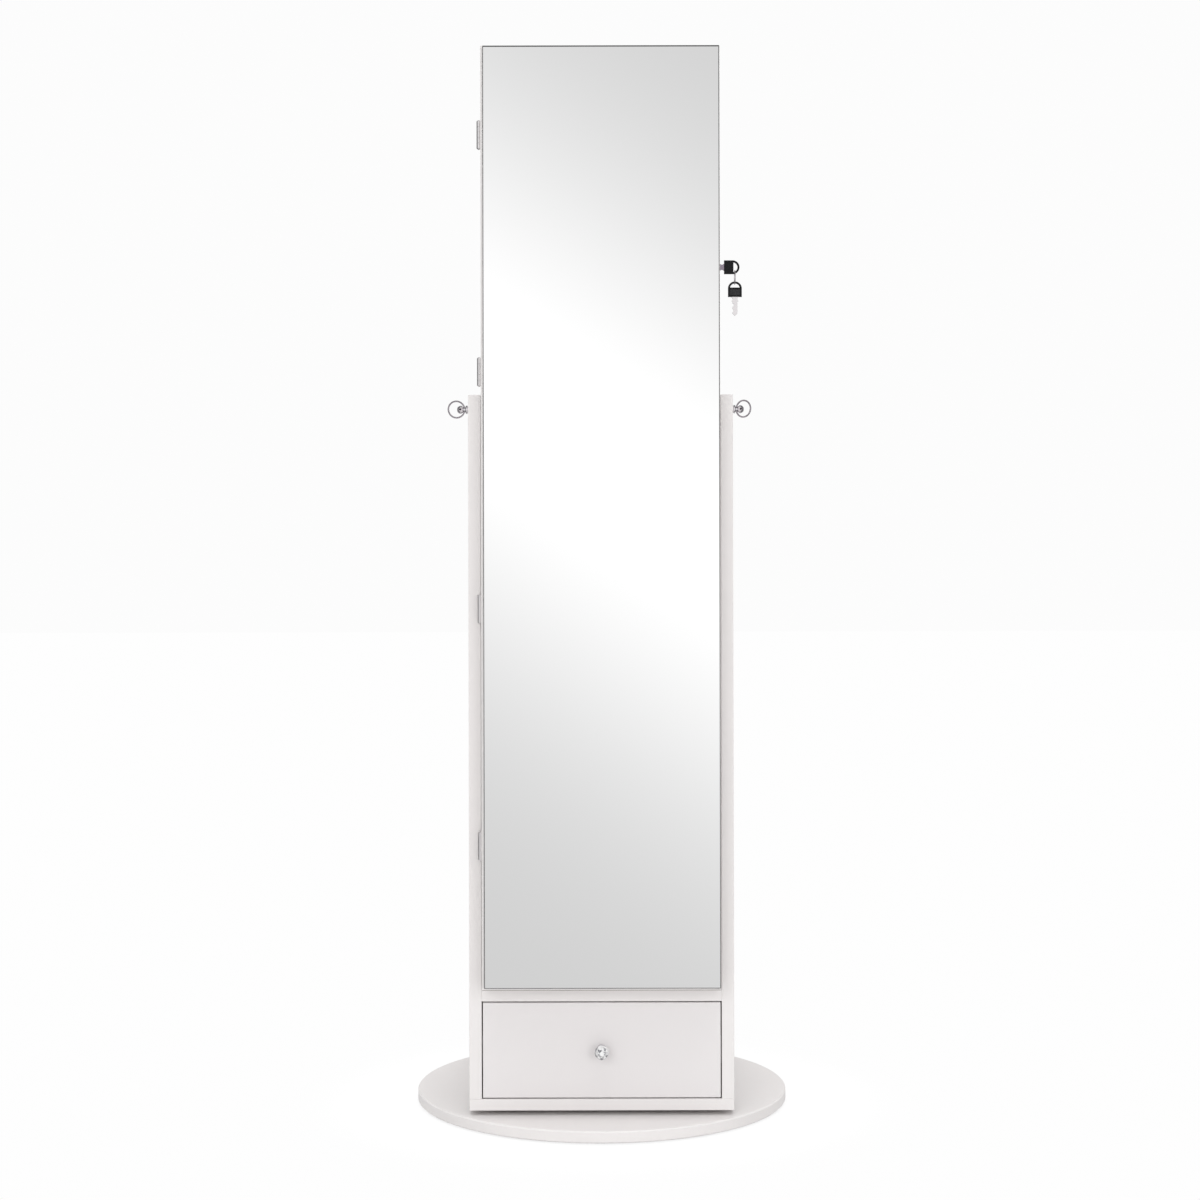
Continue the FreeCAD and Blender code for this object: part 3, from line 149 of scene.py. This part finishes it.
# Each lamp is a square panel, with this place, side and power, turned to the middle of the stand.
middle = Vector((0, 0, 0.6))
for lamp, place, side, watts in (("key", (-2.0, -3.9, 1.8), 2.4, 43),
                                 ("fill", (2.3, -3.7, 1.3), 2.6, 34),
                                 ("top", (0.2, -0.6, 7.0), 5.0, 245)):
    light = bpy.data.lights.new(lamp, "AREA")
    light.size = side
    light.energy = watts
    lit = bpy.data.objects.new(lamp, light)
    bpy.context.scene.collection.objects.link(lit)
    lit.location = place
    lit.rotation_mode = "QUATERNION"
    lit.rotation_quaternion = (middle - Vector(place)).to_track_quat("-Z", "Y")
    lit.visible_glossy = False


def skin(name, grid, wrap_rows=False, wrap_columns=False, smooth=True):
    """A mesh of quads over a (rows, columns, 3) array of points; a wrapped direction joins its ends.

    Points that fall together, as at a pole, are merged, and the faces are turned outwards.
    """
    number = np.arange(grid.shape[0] * grid.shape[1]).reshape(grid.shape[:2])
    if wrap_rows:
        number = np.vstack([number, number[:1]])
    if wrap_columns:
        number = np.hstack([number, number[:, :1]])
    quads = np.stack([number[:-1, :-1], number[:-1, 1:], number[1:, 1:], number[1:, :-1]], axis=-1)
    mesh = bpy.data.meshes.new(name)
    mesh.from_pydata(grid.reshape(-1, 3).tolist(), [], quads.reshape(-1, 4).tolist())
    shell = bmesh.new()
    shell.from_mesh(mesh)
    bmesh.ops.remove_doubles(shell, verts=shell.verts, dist=1e-6)
    bmesh.ops.recalc_face_normals(shell, faces=shell.faces)
    shell.to_mesh(mesh)
    shell.free()
    mesh.polygons.foreach_set("use_smooth", [smooth] * len(mesh.polygons))
    piece = bpy.data.objects.new(name, mesh)
    bpy.context.scene.collection.objects.link(piece)
    return piece


def paint(finish, *pieces):
    """Gives pieces, or CAD nodes by name, one finish."""
    for piece in pieces:
        mesh = (nodes[piece] if isinstance(piece, str) else piece).data
        mesh.materials.clear()
        mesh.materials.append(finish)


def new_finish(name):
    """An empty material, with the Wire that its nodes are added through."""
    finish = bpy.data.materials.new(name)
    finish.use_nodes = True
    finish.node_tree.nodes.clear()
    return finish, Wire(finish.node_tree)


# The floor runs white to the horizon: matt round the disc, where it takes the soft contact shadow,
# and to the eye it turns evenly white further out. Mirror and chrome look past it to the room.
far = 40
corners = [[(-far, -far, 0), (far, -far, 0)], [(-far, far, 0), (far, far, 0)]]
floor = skin("studio_floor", np.array(corners, float))
white_floor, brush = new_finish("white_floor")
spot = brush.add("TexCoord", output="Object")
seen = brush.add("LightPath", output="Is Camera Ray")
reach = brush.add("VectorMath", {"operation": "LENGTH"}, {0: spot}, output="Value")
outside = reach.ease(0.24, 0.42, 0.8)
matt = brush.add("BsdfDiffuse", sockets={"Color": (0.85, 0.85, 0.85, 1)})
lift = brush.add("Emission", sockets={"Color": (1, 1, 1, 1), "Strength": 0.25})
even = brush.add("Emission", sockets={"Color": (1, 1, 1, 1), "Strength": 0.99})
lifted = brush.add("AddShader", sockets={0: matt, 1: lift})
near = brush.add("MixShader", sockets={0: seen, 1: matt, 2: lifted})
shader = brush.add("MixShader", sockets={0: outside * seen, 1: near, 2: even})
brush.add("OutputMaterial", sockets={"Surface": shader})
paint(white_floor, floor)
floor.visible_glossy = False

# ------------------------------------------------------------------------------------------------
# Floor disc and pads. The disc is one round of fibreboard with an eased rim, sprayed with the same
# satin white lacquer as all the boards; six rubber pads stand it just off the floor.


def lacquer(name, colour, roughness=0.36, bare_board_shade=None):
    """Sprayed white lacquer: faint orange peel, slow drifts of tone, and a slightly uneven gloss.

    With a corner (x, y, z) given, it paints dark brown board, part bare board and part painted shade,
    where |x| is at most that x, behind y and below z.
    """
    finish, brush = new_finish(name)
    spot = brush.add("TexCoord", output="Object")
    drift = brush.add("TexNoise", sockets={"Vector": spot, "Scale": 3.5, "Detail": 3.0, "Roughness": 0.5})
    speck = brush.add("TexNoise", sockets={"Vector": spot, "Scale": 90.0, "Detail": 4.0, "Roughness": 0.6})
    peel = brush.add("TexNoise", sockets={"Vector": spot, "Scale": 420.0, "Detail": 2.0, "Roughness": 0.5})
    darker = (colour[0] * 0.972, colour[1] * 0.968, colour[2] * 0.962, 1)
    tone = (drift * 0.75 + speck * 0.25).pick(darker, (*colour, 1))
    # Painted shade: inside that corner the colour turns to dark brown board, which darkens the recess it
    # lines.
    if bare_board_shade:
        x, y, z = (spot.axis(name) for name in "XYZ")
        inside = (abs(x) < bare_board_shade[0] + 1e-4) * (y > bare_board_shade[1]) * (z < bare_board_shade[2])
        tone = inside.pick(tone, speck.pick((0.16, 0.11, 0.07, 1), (0.27, 0.20, 0.14, 1)))
    grain = peel * 0.7 + speck * 0.3
    shader = brush.add("BsdfPrincipled", sockets={
        "Base Color": tone,
        "Roughness": roughness + (speck - 0.5) * 0.16,
        "Normal": brush.add("Bump", sockets={"Height": grain, "Strength": 0.09, "Distance": 0.0006}),
        "Specular IOR Level": 0.42,
    })
    brush.add("OutputMaterial", sockets={"Surface": shader})
    return finish


warm_white = (0.80, 0.775, 0.77)
board_white = lacquer("board_white", warm_white)
paint(board_white, "base_disc")


def moulded(name, colour, roughness, grain_size=700.0, depth=0.12, gloss=0.5):
    """Moulded rubber or plastic: one colour with a fine even grain and a few duller patches."""
    finish, brush = new_finish(name)
    spot = brush.add("TexCoord", output="Object")
    grain = brush.add("TexNoise", sockets={"Vector": spot, "Scale": grain_size, "Detail": 3.0})
    patch = brush.add("TexNoise", sockets={"Vector": spot, "Scale": grain_size / 12, "Detail": 2.0})
    lighter = tuple(min(1, part * 1.35 + 0.006) for part in colour)
    bumps = brush.add("Bump", sockets={"Height": grain, "Strength": depth, "Distance": 0.0004})
    shader = brush.add("BsdfPrincipled", sockets={
        "Base Color": (patch * 0.6).pick((*colour, 1), (*lighter, 1)),
        "Roughness": roughness + (patch - 0.5) * 0.2,
        "Normal": bumps,
        "Specular IOR Level": gloss,
    })
    brush.add("OutputMaterial", sockets={"Surface": shader})
    return finish


rubber = moulded("rubber", (0.02, 0.02, 0.021), 0.7)
paint(rubber, "floor_pads", "bumpers")

# ------------------------------------------------------------------------------------------------
# Swivel. Two square zinc-plated pressings hold a ring of steel balls in a nylon cage between their
# ribs; a bolt through the disc and the bottom board keeps them together, with a nut above.


def metal(name, colour, roughness, streak=0.0, drift=0.05, edge=1.0):
    """Bare or plated metal: its tint, a roughness that drifts, and brushed streaks along Z if asked.

    A low edge darkens the metal where it turns away.
    """
    finish, brush = new_finish(name)
    spot = brush.add("TexCoord", output="Object")
    drawn = brush.add("Mapping", sockets={"Vector": spot, "Scale": (1.0, 1.0, 0.03 if streak else 1.0)})
    lines = brush.add("TexNoise", sockets={"Vector": drawn, "Scale": 900.0, "Detail": 3.0})
    cloud = brush.add("TexNoise", sockets={"Vector": spot, "Scale": 60.0, "Detail": 3.0})
    duller = tuple(part * 0.9 for part in colour)
    bumps = brush.add("Bump", sockets={"Height": lines, "Strength": 0.02 + streak, "Distance": 0.0002})
    shader = brush.add("BsdfPrincipled", sockets={
        "Base Color": cloud.pick((*duller, 1), (*colour, 1)),
        "Metallic": 1.0,
        "Roughness": roughness + (cloud - 0.5) * drift * 2,
        "Normal": bumps,
        "Specular Tint": (edge, edge, edge, 1),
    })
    brush.add("OutputMaterial", sockets={"Surface": shader})
    return finish


zinc = metal("zinc_plate", (0.62, 0.625, 0.64), 0.34, streak=0.05, drift=0.1)
steel_balls = metal("steel_balls", (0.7, 0.7, 0.71), 0.12)
nylon = moulded("nylon", (0.72, 0.72, 0.70), 0.42)
paint(zinc, "swivel_lower_plate", "swivel_upper_plate", "swivel_bolt", "swivel_nut")
paint(steel_balls, "swivel_balls")
paint(nylon, "ball_cage", "pivot_spacers")

# ------------------------------------------------------------------------------------------------
# Base box and uprights. Lacquered boards: the bottom, the top that shows as a rail over the drawer,
# the back, and two side panels that sweep up into the uprights, tied by a cross rail at the back.
paint(board_white, "bottom_board", "box_top", "box_back", "cross_rail")

# The side panels are lacquered all round, but dark brown where they line the drawer's room: bare
# fibreboard, and painted shade that darkens the gaps beside the drawer.
panel_white = lacquer("panel_white", warm_white, bare_board_shade=(0.154, -0.1685, 0.163))
paint(panel_white, "left_side_panel", "right_side_panel")

# ------------------------------------------------------------------------------------------------
# Drawer. A lacquered front on a plain white box with a flocked bottom, hung on two zinc-plated
# runners that slide in channels screwed to the side panels.
# Painted shade: the drawer front's lacquer is the boards' white made a shade darker, to hold down the
# light that falls on it.
shaded_drawer_white = lacquer("shaded_drawer_white", (0.765, 0.74, 0.742))
inside_white = lacquer("inside_white", (0.78, 0.765, 0.755), 0.5)


def flock(name, colour, nap=900.0, other=None, edge=None):
    """Short flocked velvet: a soft nap with sheen, lighter where the pile leans.

    With other and edge, the surface turns to that second, lacquered colour behind the plane y = edge.
    """
    finish, brush = new_finish(name)
    spot = brush.add("TexCoord", output="Object")
    pile = brush.add("TexNoise", sockets={"Vector": spot, "Scale": nap, "Detail": 4.0, "Roughness": 0.7})
    lean = brush.add("TexNoise", sockets={"Vector": spot, "Scale": 14.0, "Detail": 4.0, "Distortion": 0.8})
    shade = tuple(part * 0.82 for part in colour)
    tone = (lean * 0.7 + pile * 0.3).pick((*shade, 1), (*colour, 1))
    rough = 0.95
    if other:
        behind = spot.axis("Y") > edge
        tone = behind.pick(tone, (*other, 1))
        rough = 0.95 - behind * 0.5
    bumps = brush.add("Bump", sockets={"Height": pile, "Strength": 0.25, "Distance": 0.0005})
    shader = brush.add("BsdfPrincipled", sockets={
        "Base Color": tone,
        "Roughness": rough,
        "Normal": bumps,
        "Sheen Weight": 0.35,
        "Sheen Roughness": 0.4,
    })
    brush.add("OutputMaterial", sockets={"Surface": shader})
    return finish


drawer_flock = flock("drawer_flock", (0.62, 0.57, 0.55))
paint(shaded_drawer_white, "drawer_front")
paint(inside_white, "drawer_sides", "drawer_back")
paint(drawer_flock, "drawer_floor")
paint(zinc, "drawer_channels", "drawer_runners")

# ------------------------------------------------------------------------------------------------
# Knob. A cut crystal stone in a polished metal cup that flares to a foot on the drawer front; a
# round-headed screw from inside the drawer holds it.
chrome = metal("chrome", (0.95, 0.92, 0.955), 0.05, drift=0.02, edge=0.0)
paint(chrome, "knob_base")
paint(zinc, "knob_screw")

# The stone is cut like a brilliant: rings of facets between these (radius, depth) girdles, each
# ring turned half a facet from the last, closed by a flat table in front.
low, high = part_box("knob_crystal")
stone_wide = (high.x - low.x) / 2
stone_deep = high.y - low.y
girdles = ((0, 0), (0.55, 0), (0.93, 0.36), (1, 0.46), (1, 0.58), (0.86, 0.76), (0.56, 0.93),
           (0.30, 1), (0, 1))
sides = 12
rows = []
for step, (wide, deep) in enumerate(girdles):
    turn = (np.arange(sides) + step % 2 / 2) * 2 * math.pi / sides
    rows.append(np.stack([np.cos(turn) * wide * stone_wide, np.full(sides, high.y - deep * stone_deep),
                          np.sin(turn) * wide * stone_wide + (low.z + high.z) / 2], axis=-1))
stone = skin("cut_stone", np.array(rows), wrap_columns=True, smooth=False)
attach(stone, "drawer")
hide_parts("knob_crystal")

# Painted reflections: each facet's base colour is a grey set by a hash of the facet's normal, standing in
# for what it would reflect, and the rim facets, turned away from the front, get a painted highlight.
crystal, brush = new_finish("crystal")
facing = brush.add("TexCoord", output="Normal")
mixed = {0: facing, 1: (3.17, 5.73, 8.31)}
turned = brush.add("VectorMath", {"operation": "DOT_PRODUCT"}, mixed, output="Value")
painted_glint_hash = brush.math("FRACT", brush.math("SINE", turned) * 43.7)
front_on = abs(facing.axis("Y"))
tone = (painted_glint_hash * 1.25 + (front_on < 0.42) * 0.8).pick((0.13, 0.13, 0.15, 1), (1, 1, 1, 1))
shader = brush.add("BsdfPrincipled", sockets={
    "Base Color": tone,
    "Roughness": 0.02 + painted_glint_hash * 0.04,
    "IOR": 1.54,
    "Transmission Weight": 0.15,
    "Coat Weight": 0.6,
})
brush.add("OutputMaterial", sockets={"Surface": shader})
paint(crystal, stone)

# ------------------------------------------------------------------------------------------------
# Tilt screws and pull rings. Chrome-plated turned screws pass through the uprights into threaded
# inserts in the cabinet's sides, and each carries a loose wire ring through its neck.
paint(chrome, "left_pivot_screw", "right_pivot_screw")
# Painted reflections: the pull rings get a darker, purplish copy of the chrome, standing in for the dark
# reflections seen in them.
shaded_ring_chrome = metal("shaded_ring_chrome", (0.50, 0.46, 0.50), 0.12, drift=0.04, edge=0.0)
paint(shaded_ring_chrome, "left_pull_ring", "right_pull_ring")
paint(zinc, "pivot_inserts")


def screw_heads(name, seats, normal, radius, dome, cross=1.1):
    """Screw heads on their seats: over polar steps (r, a) each rises dome * (1 - r*r), less a cross
    recess, cross times as deep, near the two lines through its centre while r is under a half. The
    last row is a point below the seat, which closes the back."""
    r = np.append(np.linspace(0, 1, 9), 0)[:, None]
    a = np.linspace(0, 2 * np.pi, 32, endpoint=False)[None, :]
    arm = np.minimum(np.abs(np.sin(a)), np.abs(np.cos(a))) * r
    recess = np.clip(1 - (arm / 0.14) ** 2, 0, 1) * np.clip((0.6 - r) / 0.12, 0, 1)
    rise = dome * (1 - r * r) - dome * cross * recess
    rise[-1] = -dome * 1.2
    outwards = np.array(normal, float)
    askew = (0.31, 0.2, 0.93)
    side = np.cross(outwards, askew)
    side /= np.linalg.norm(side)
    other = np.cross(outwards, side)
    head = (radius * r * np.cos(a))[..., None] * side + (radius * r * np.sin(a))[..., None] * other
    head = head + rise[..., None] * outwards
    pieces = []
    for number, seat in enumerate(seats):
        pieces.append(skin(f"{name}_{number}", head + np.array(seat, float), wrap_columns=True))
    if len(pieces) > 1:
        with bpy.context.temp_override(active_object=pieces[0], selected_editable_objects=pieces):
            bpy.ops.object.join()
    pieces[0].name = name
    return pieces[0]


# Painted reflection: a small dark disc on the front of each ball head, this far in from the screw's end,
# stands in for the dark spot reflected there.
painted_reflection_grey = metal("painted_reflection_grey", (0.05, 0.04, 0.05), 0.45, edge=0.3)
ball_middle = 0.0041
for side in ("left", "right"):
    low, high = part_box(side + "_pivot_screw")
    head_x = low.x + ball_middle if side == "left" else high.x - ball_middle
    seat = (head_x, low.y + 0.0001, (low.z + high.z) / 2)
    painted_reflection_spot = screw_heads(side + "_screw_painted_reflection", [seat], (0, -1, 0), 0.0014, 0.0001, cross=0)
    paint(painted_reflection_grey, painted_reflection_spot)
    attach(painted_reflection_spot, side + "_screw")

# ------------------------------------------------------------------------------------------------
# Cabinet. Lacquered sides, top and bottom round a back that is flocked inside and white outside,
# with flocked shelves behind clear guards.
back_edge = (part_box("cabinet_back")[0].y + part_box("cabinet_back")[1].y) / 2
cabinet_flock = flock("cabinet_flock", (0.62, 0.57, 0.55), other=warm_white, edge=back_edge)
shelf_flock = flock("shelf_flock", (0.64, 0.59, 0.57))
paint(board_white, "cabinet_left_side", "cabinet_right_side", "cabinet_top", "cabinet_bottom")
paint(cabinet_flock, "cabinet_back")
paint(shelf_flock, "shelves")

# The guards are clear acrylic, glued over each shelf's front edge, whose lacquer shows through them.
clear, brush = new_finish("clear_guard")
spot = brush.add("TexCoord", output="Object")
haze = brush.add("TexNoise", sockets={"Vector": spot, "Scale": 45.0, "Detail": 2.0})
acrylic = brush.add("BsdfPrincipled", sockets={
    "Base Color": haze.pick((0.95, 0.97, 0.975, 1), (0.98, 0.99, 0.995, 1)),
    "Roughness": 0.03 + haze * 0.04,
    "IOR": 1.49,
    "Transmission Weight": 0.92,
})
glued = brush.add("BsdfPrincipled", sockets={
    "Base Color": haze.pick((0.70, 0.68, 0.67, 1), (0.76, 0.74, 0.73, 1)),
    "Roughness": 0.08,
})
rise = spot.axis("Z")
half_shelf = 0.004
shelf_middles = [top - half_shelf for top in (0.3904, 0.5604, 1.0004)]
over_edge = sum(abs(rise - middle) < half_shelf + 0.0002 for middle in shelf_middles)
shader = brush.add("MixShader", sockets={0: over_edge, 1: acrylic, 2: glued})
brush.add("OutputMaterial", sockets={"Surface": shader})
paint(clear, "shelf_guards")

gloss_white = lacquer("gloss_white", (0.84, 0.83, 0.825), 0.18)
paint(gloss_white, "bracelet_rod", "earring_plate", "necklace_pegs")
paint(board_white, "peg_rail", "earring_cleats")

# Cross-headed screws hold the earring plate to its cleats and the peg rail to the back.
plate_low, plate_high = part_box("earring_plate")
rail_low, rail_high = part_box("peg_rail")
inset = 0.006
plate_rows = (plate_low.z + inset, plate_high.z - inset)
seats = [(x, plate_low.y, z) for x in (-0.124, 0, 0.124) for z in plate_rows]
seats += [(x, rail_low.y, (rail_low.z + rail_high.z) / 2) for x in (-0.128, 0, 0.128)]
plate_screws = screw_heads("plate_screws", seats, (0, -1, 0), 0.0032, 0.0009)
paint(zinc, plate_screws)
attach(plate_screws, "cabinet")

# ------------------------------------------------------------------------------------------------
# Ring cushion. Six foam rolls in one velvet cover stand on the high shelf; rings are pushed into the
# slits between them. The cover is drawn in at the slits and puckers a little towards both ends.
low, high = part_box("ring_cushion")
across = np.linspace(-1, 1, 241)[None, :]
upward = np.linspace(0, 1, 193)[:, None]
rolls = 6


def cushion_depth(u, v):
    """How far the cover stands off the cabinet's back: the foam's body, and on it a row of half
    rounds, sqrt(1 - t*t) with t from -1 to 1 over each roll, less sine puckers at the slits near both
    ends. Slow sines leave each roll a little slack, and all of it falls off at the borders."""
    t = (v * rolls) % 1 * 2 - 1
    swell = np.sqrt(np.clip(1 - t * t, 0, 1))
    slits = np.exp(-((1 - np.abs(t)) / 0.1) ** 2)
    near_ends = np.exp(-((1 - np.abs(u)) / 0.2) ** 2)
    pucker = 0.35 * slits * np.sin(u * 61 + np.floor(v * rolls) * 1.7) * near_ends
    slack = 0.03 * np.sin(u * 9.3 + np.floor(v * rolls) * 2.1) + 0.02 * np.sin(u * 23 + v * 11)
    ends = (1 - np.abs(u) ** 14) ** (1 / 3)
    foot = (1 - np.abs(v * 2 - 1) ** 40) ** (1 / 4)
    depth = 0.50 + (0.46 + slack) * swell - 0.05 * pucker
    return depth * ends * foot


thick = high.y - low.y
front_face = np.stack(np.broadcast_arrays(
    across * (high.x - low.x) / 2 * (1 - 0.004 * (1 - np.cos(upward * rolls * 2 * np.pi)) / 2),
    high.y - thick * cushion_depth(across, upward),
    low.z + (high.z - low.z) * upward), axis=-1)
rear_face = front_face.copy()
rear_face[..., 1] = high.y
cushion = skin("velvet_ring_cushion", np.concatenate([front_face, rear_face[::-1]]), wrap_rows=True)
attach(cushion, "cabinet")
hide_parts("ring_cushion")
paint(flock("cushion_velvet", (0.70, 0.66, 0.64), nap=1100.0), cushion)

# ------------------------------------------------------------------------------------------------
# Hinges. Nickel-plated butt hinges down the left edge: rolled knuckles on a pin, and flat leaves
# held by small countersunk screws with cross recesses.
nickel = metal("nickel_plate", (0.90, 0.88, 0.885), 0.30, drift=0.06)
paint(nickel, "cabinet_hinge_leaves", "door_hinge_leaves", "hinge_pins")
leaf_low, leaf_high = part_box("cabinet_hinge_leaves")
pitch = 0.3035
leaf_tall = leaf_high.z - leaf_low.z - 3 * pitch
first = leaf_low.z + leaf_tall / 2
across_leaf = leaf_high.x - 0.0045
apart = 0.011
heights = [first + step * pitch + lift for step in range(4) for lift in (-apart, 0, apart)]
for half_name, plane, normal, body in (("cabinet_hinge_leaves", -0.17440, (0, -1, 0), "cabinet"),
                                       ("door_hinge_leaves", -0.17460, (0, 1, 0), "door")):
    seats = [(across_leaf, plane, z) for z in heights]
    heads = screw_heads(half_name + "_screws", seats, normal, 0.0026, 0.00008)
    paint(nickel, heads)
    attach(heads, body)

# ------------------------------------------------------------------------------------------------
# Door and mirror. A lacquered panel on a frame of stiles and rails carries a silvered glass sheet,
# bonded a little in from the hinge side; its front edge is ground to a narrow grey arris, which is
# widest along the top.
paint(board_white, "door_stiles", "door_rails")

# Painted shade: the panel's downward faces are dark brown, as bare board, and show as the thin dark shadow
# line under the door.
door_white, brush = new_finish("door_white")
spot = brush.add("TexCoord", output="Object")
down = brush.add("TexCoord", output="Normal").axis("Z") < -0.6
speck = brush.add("TexNoise", sockets={"Vector": spot, "Scale": 90.0, "Detail": 4.0})
peel = brush.add("TexNoise", sockets={"Vector": spot, "Scale": 420.0, "Detail": 2.0})
bare_board_shade = speck.pick((0.10, 0.07, 0.06, 1), (0.16, 0.12, 0.10, 1))
shader = brush.add("BsdfPrincipled", sockets={
    "Base Color": down.pick(speck.pick((0.778, 0.75, 0.741, 1), (*warm_white, 1)), bare_board_shade),
    "Roughness": 0.36 + down * 0.5,
    "Normal": brush.add("Bump", sockets={"Height": peel, "Strength": 0.09, "Distance": 0.0006}),
    "Specular IOR Level": 0.42,
})
brush.add("OutputMaterial", sockets={"Surface": shader})
paint(door_white, "door_panel")

silvering, brush = new_finish("silvered_glass")
facing = brush.add("TexCoord", output="Normal")
square_on = abs(facing.axis("Y")) > 0.9
spot = brush.add("TexCoord", output="Object")
ripple = brush.add("TexNoise", sockets={"Vector": spot, "Scale": 2.2, "Detail": 1.0})
bumps = brush.add("Bump", sockets={"Height": ripple, "Strength": 0.01, "Distance": 0.002})
arris = 0.0019
polished = square_on * (spot.axis("Z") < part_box("mirror_glass")[1].z - arris)
shader = brush.add("BsdfPrincipled", sockets={
    "Base Color": polished.pick((0.07, 0.07, 0.07, 1), (0.95, 0.95, 0.95, 1)),
    "Metallic": polished,
    "Roughness": 0.9 - polished * 0.9,
    "Normal": bumps,
    "Specular IOR Level": 0.1,
})
brush.add("OutputMaterial", sockets={"Surface": shader})
paint(silvering, "mirror_glass")

# ------------------------------------------------------------------------------------------------
# Lock and keys. A plated cam lock in the cabinet's right side, its steel cam and strike, and two
# nickelled keys with black moulded bows, the spare hanging from a wire ring on the first.
# The first key's blade is a darker, purplish grey steel than the spare key's.
dark_key_steel = metal("dark_key_steel", (0.33, 0.28, 0.34), 0.22, drift=0.08, edge=0.3)
key_steel = metal("key_steel", (0.90, 0.87, 0.88), 0.2, drift=0.08, edge=0.3)
bow_black = moulded("bow_black", (0.004, 0.004, 0.005), 0.34, depth=0.08, gloss=0.22)
paint(dark_key_steel, "key_blade")
paint(key_steel, "spare_key_blade")
paint(bow_black, "key_bow")

# The spare key's bow has a greyer, scuffed panel sunk in each face.
scuffed, brush = new_finish("scuffed_bow")
spot = brush.add("TexCoord", output="Object")
half_bow, half_panel = 0.0014, 0.0012
off_middle = abs(spot.axis("Y") - (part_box("spare_key_bow")[0].y + half_bow))
flat = abs(brush.add("TexCoord", output="Normal").axis("Y")) > 0.9
scuffs = brush.add("TexNoise", sockets={"Vector": spot, "Scale": 500.0, "Detail": 4.0})
sunk_panel = flat * (off_middle < half_panel)
shader = brush.add("BsdfPrincipled", sockets={
    "Base Color": sunk_panel.pick((0.004, 0.004, 0.005, 1), (0.026, 0.026, 0.028, 1)),
    "Roughness": 0.3 + scuffs * 0.25,
    "Specular IOR Level": 0.22,
})
brush.add("OutputMaterial", sockets={"Surface": shader})
paint(scuffed, "spare_key_bow")
paint(chrome, "lock_barrel", "lock_plug", "key_ring")
paint(zinc, "lock_nut", "lock_cam", "lock_strike")
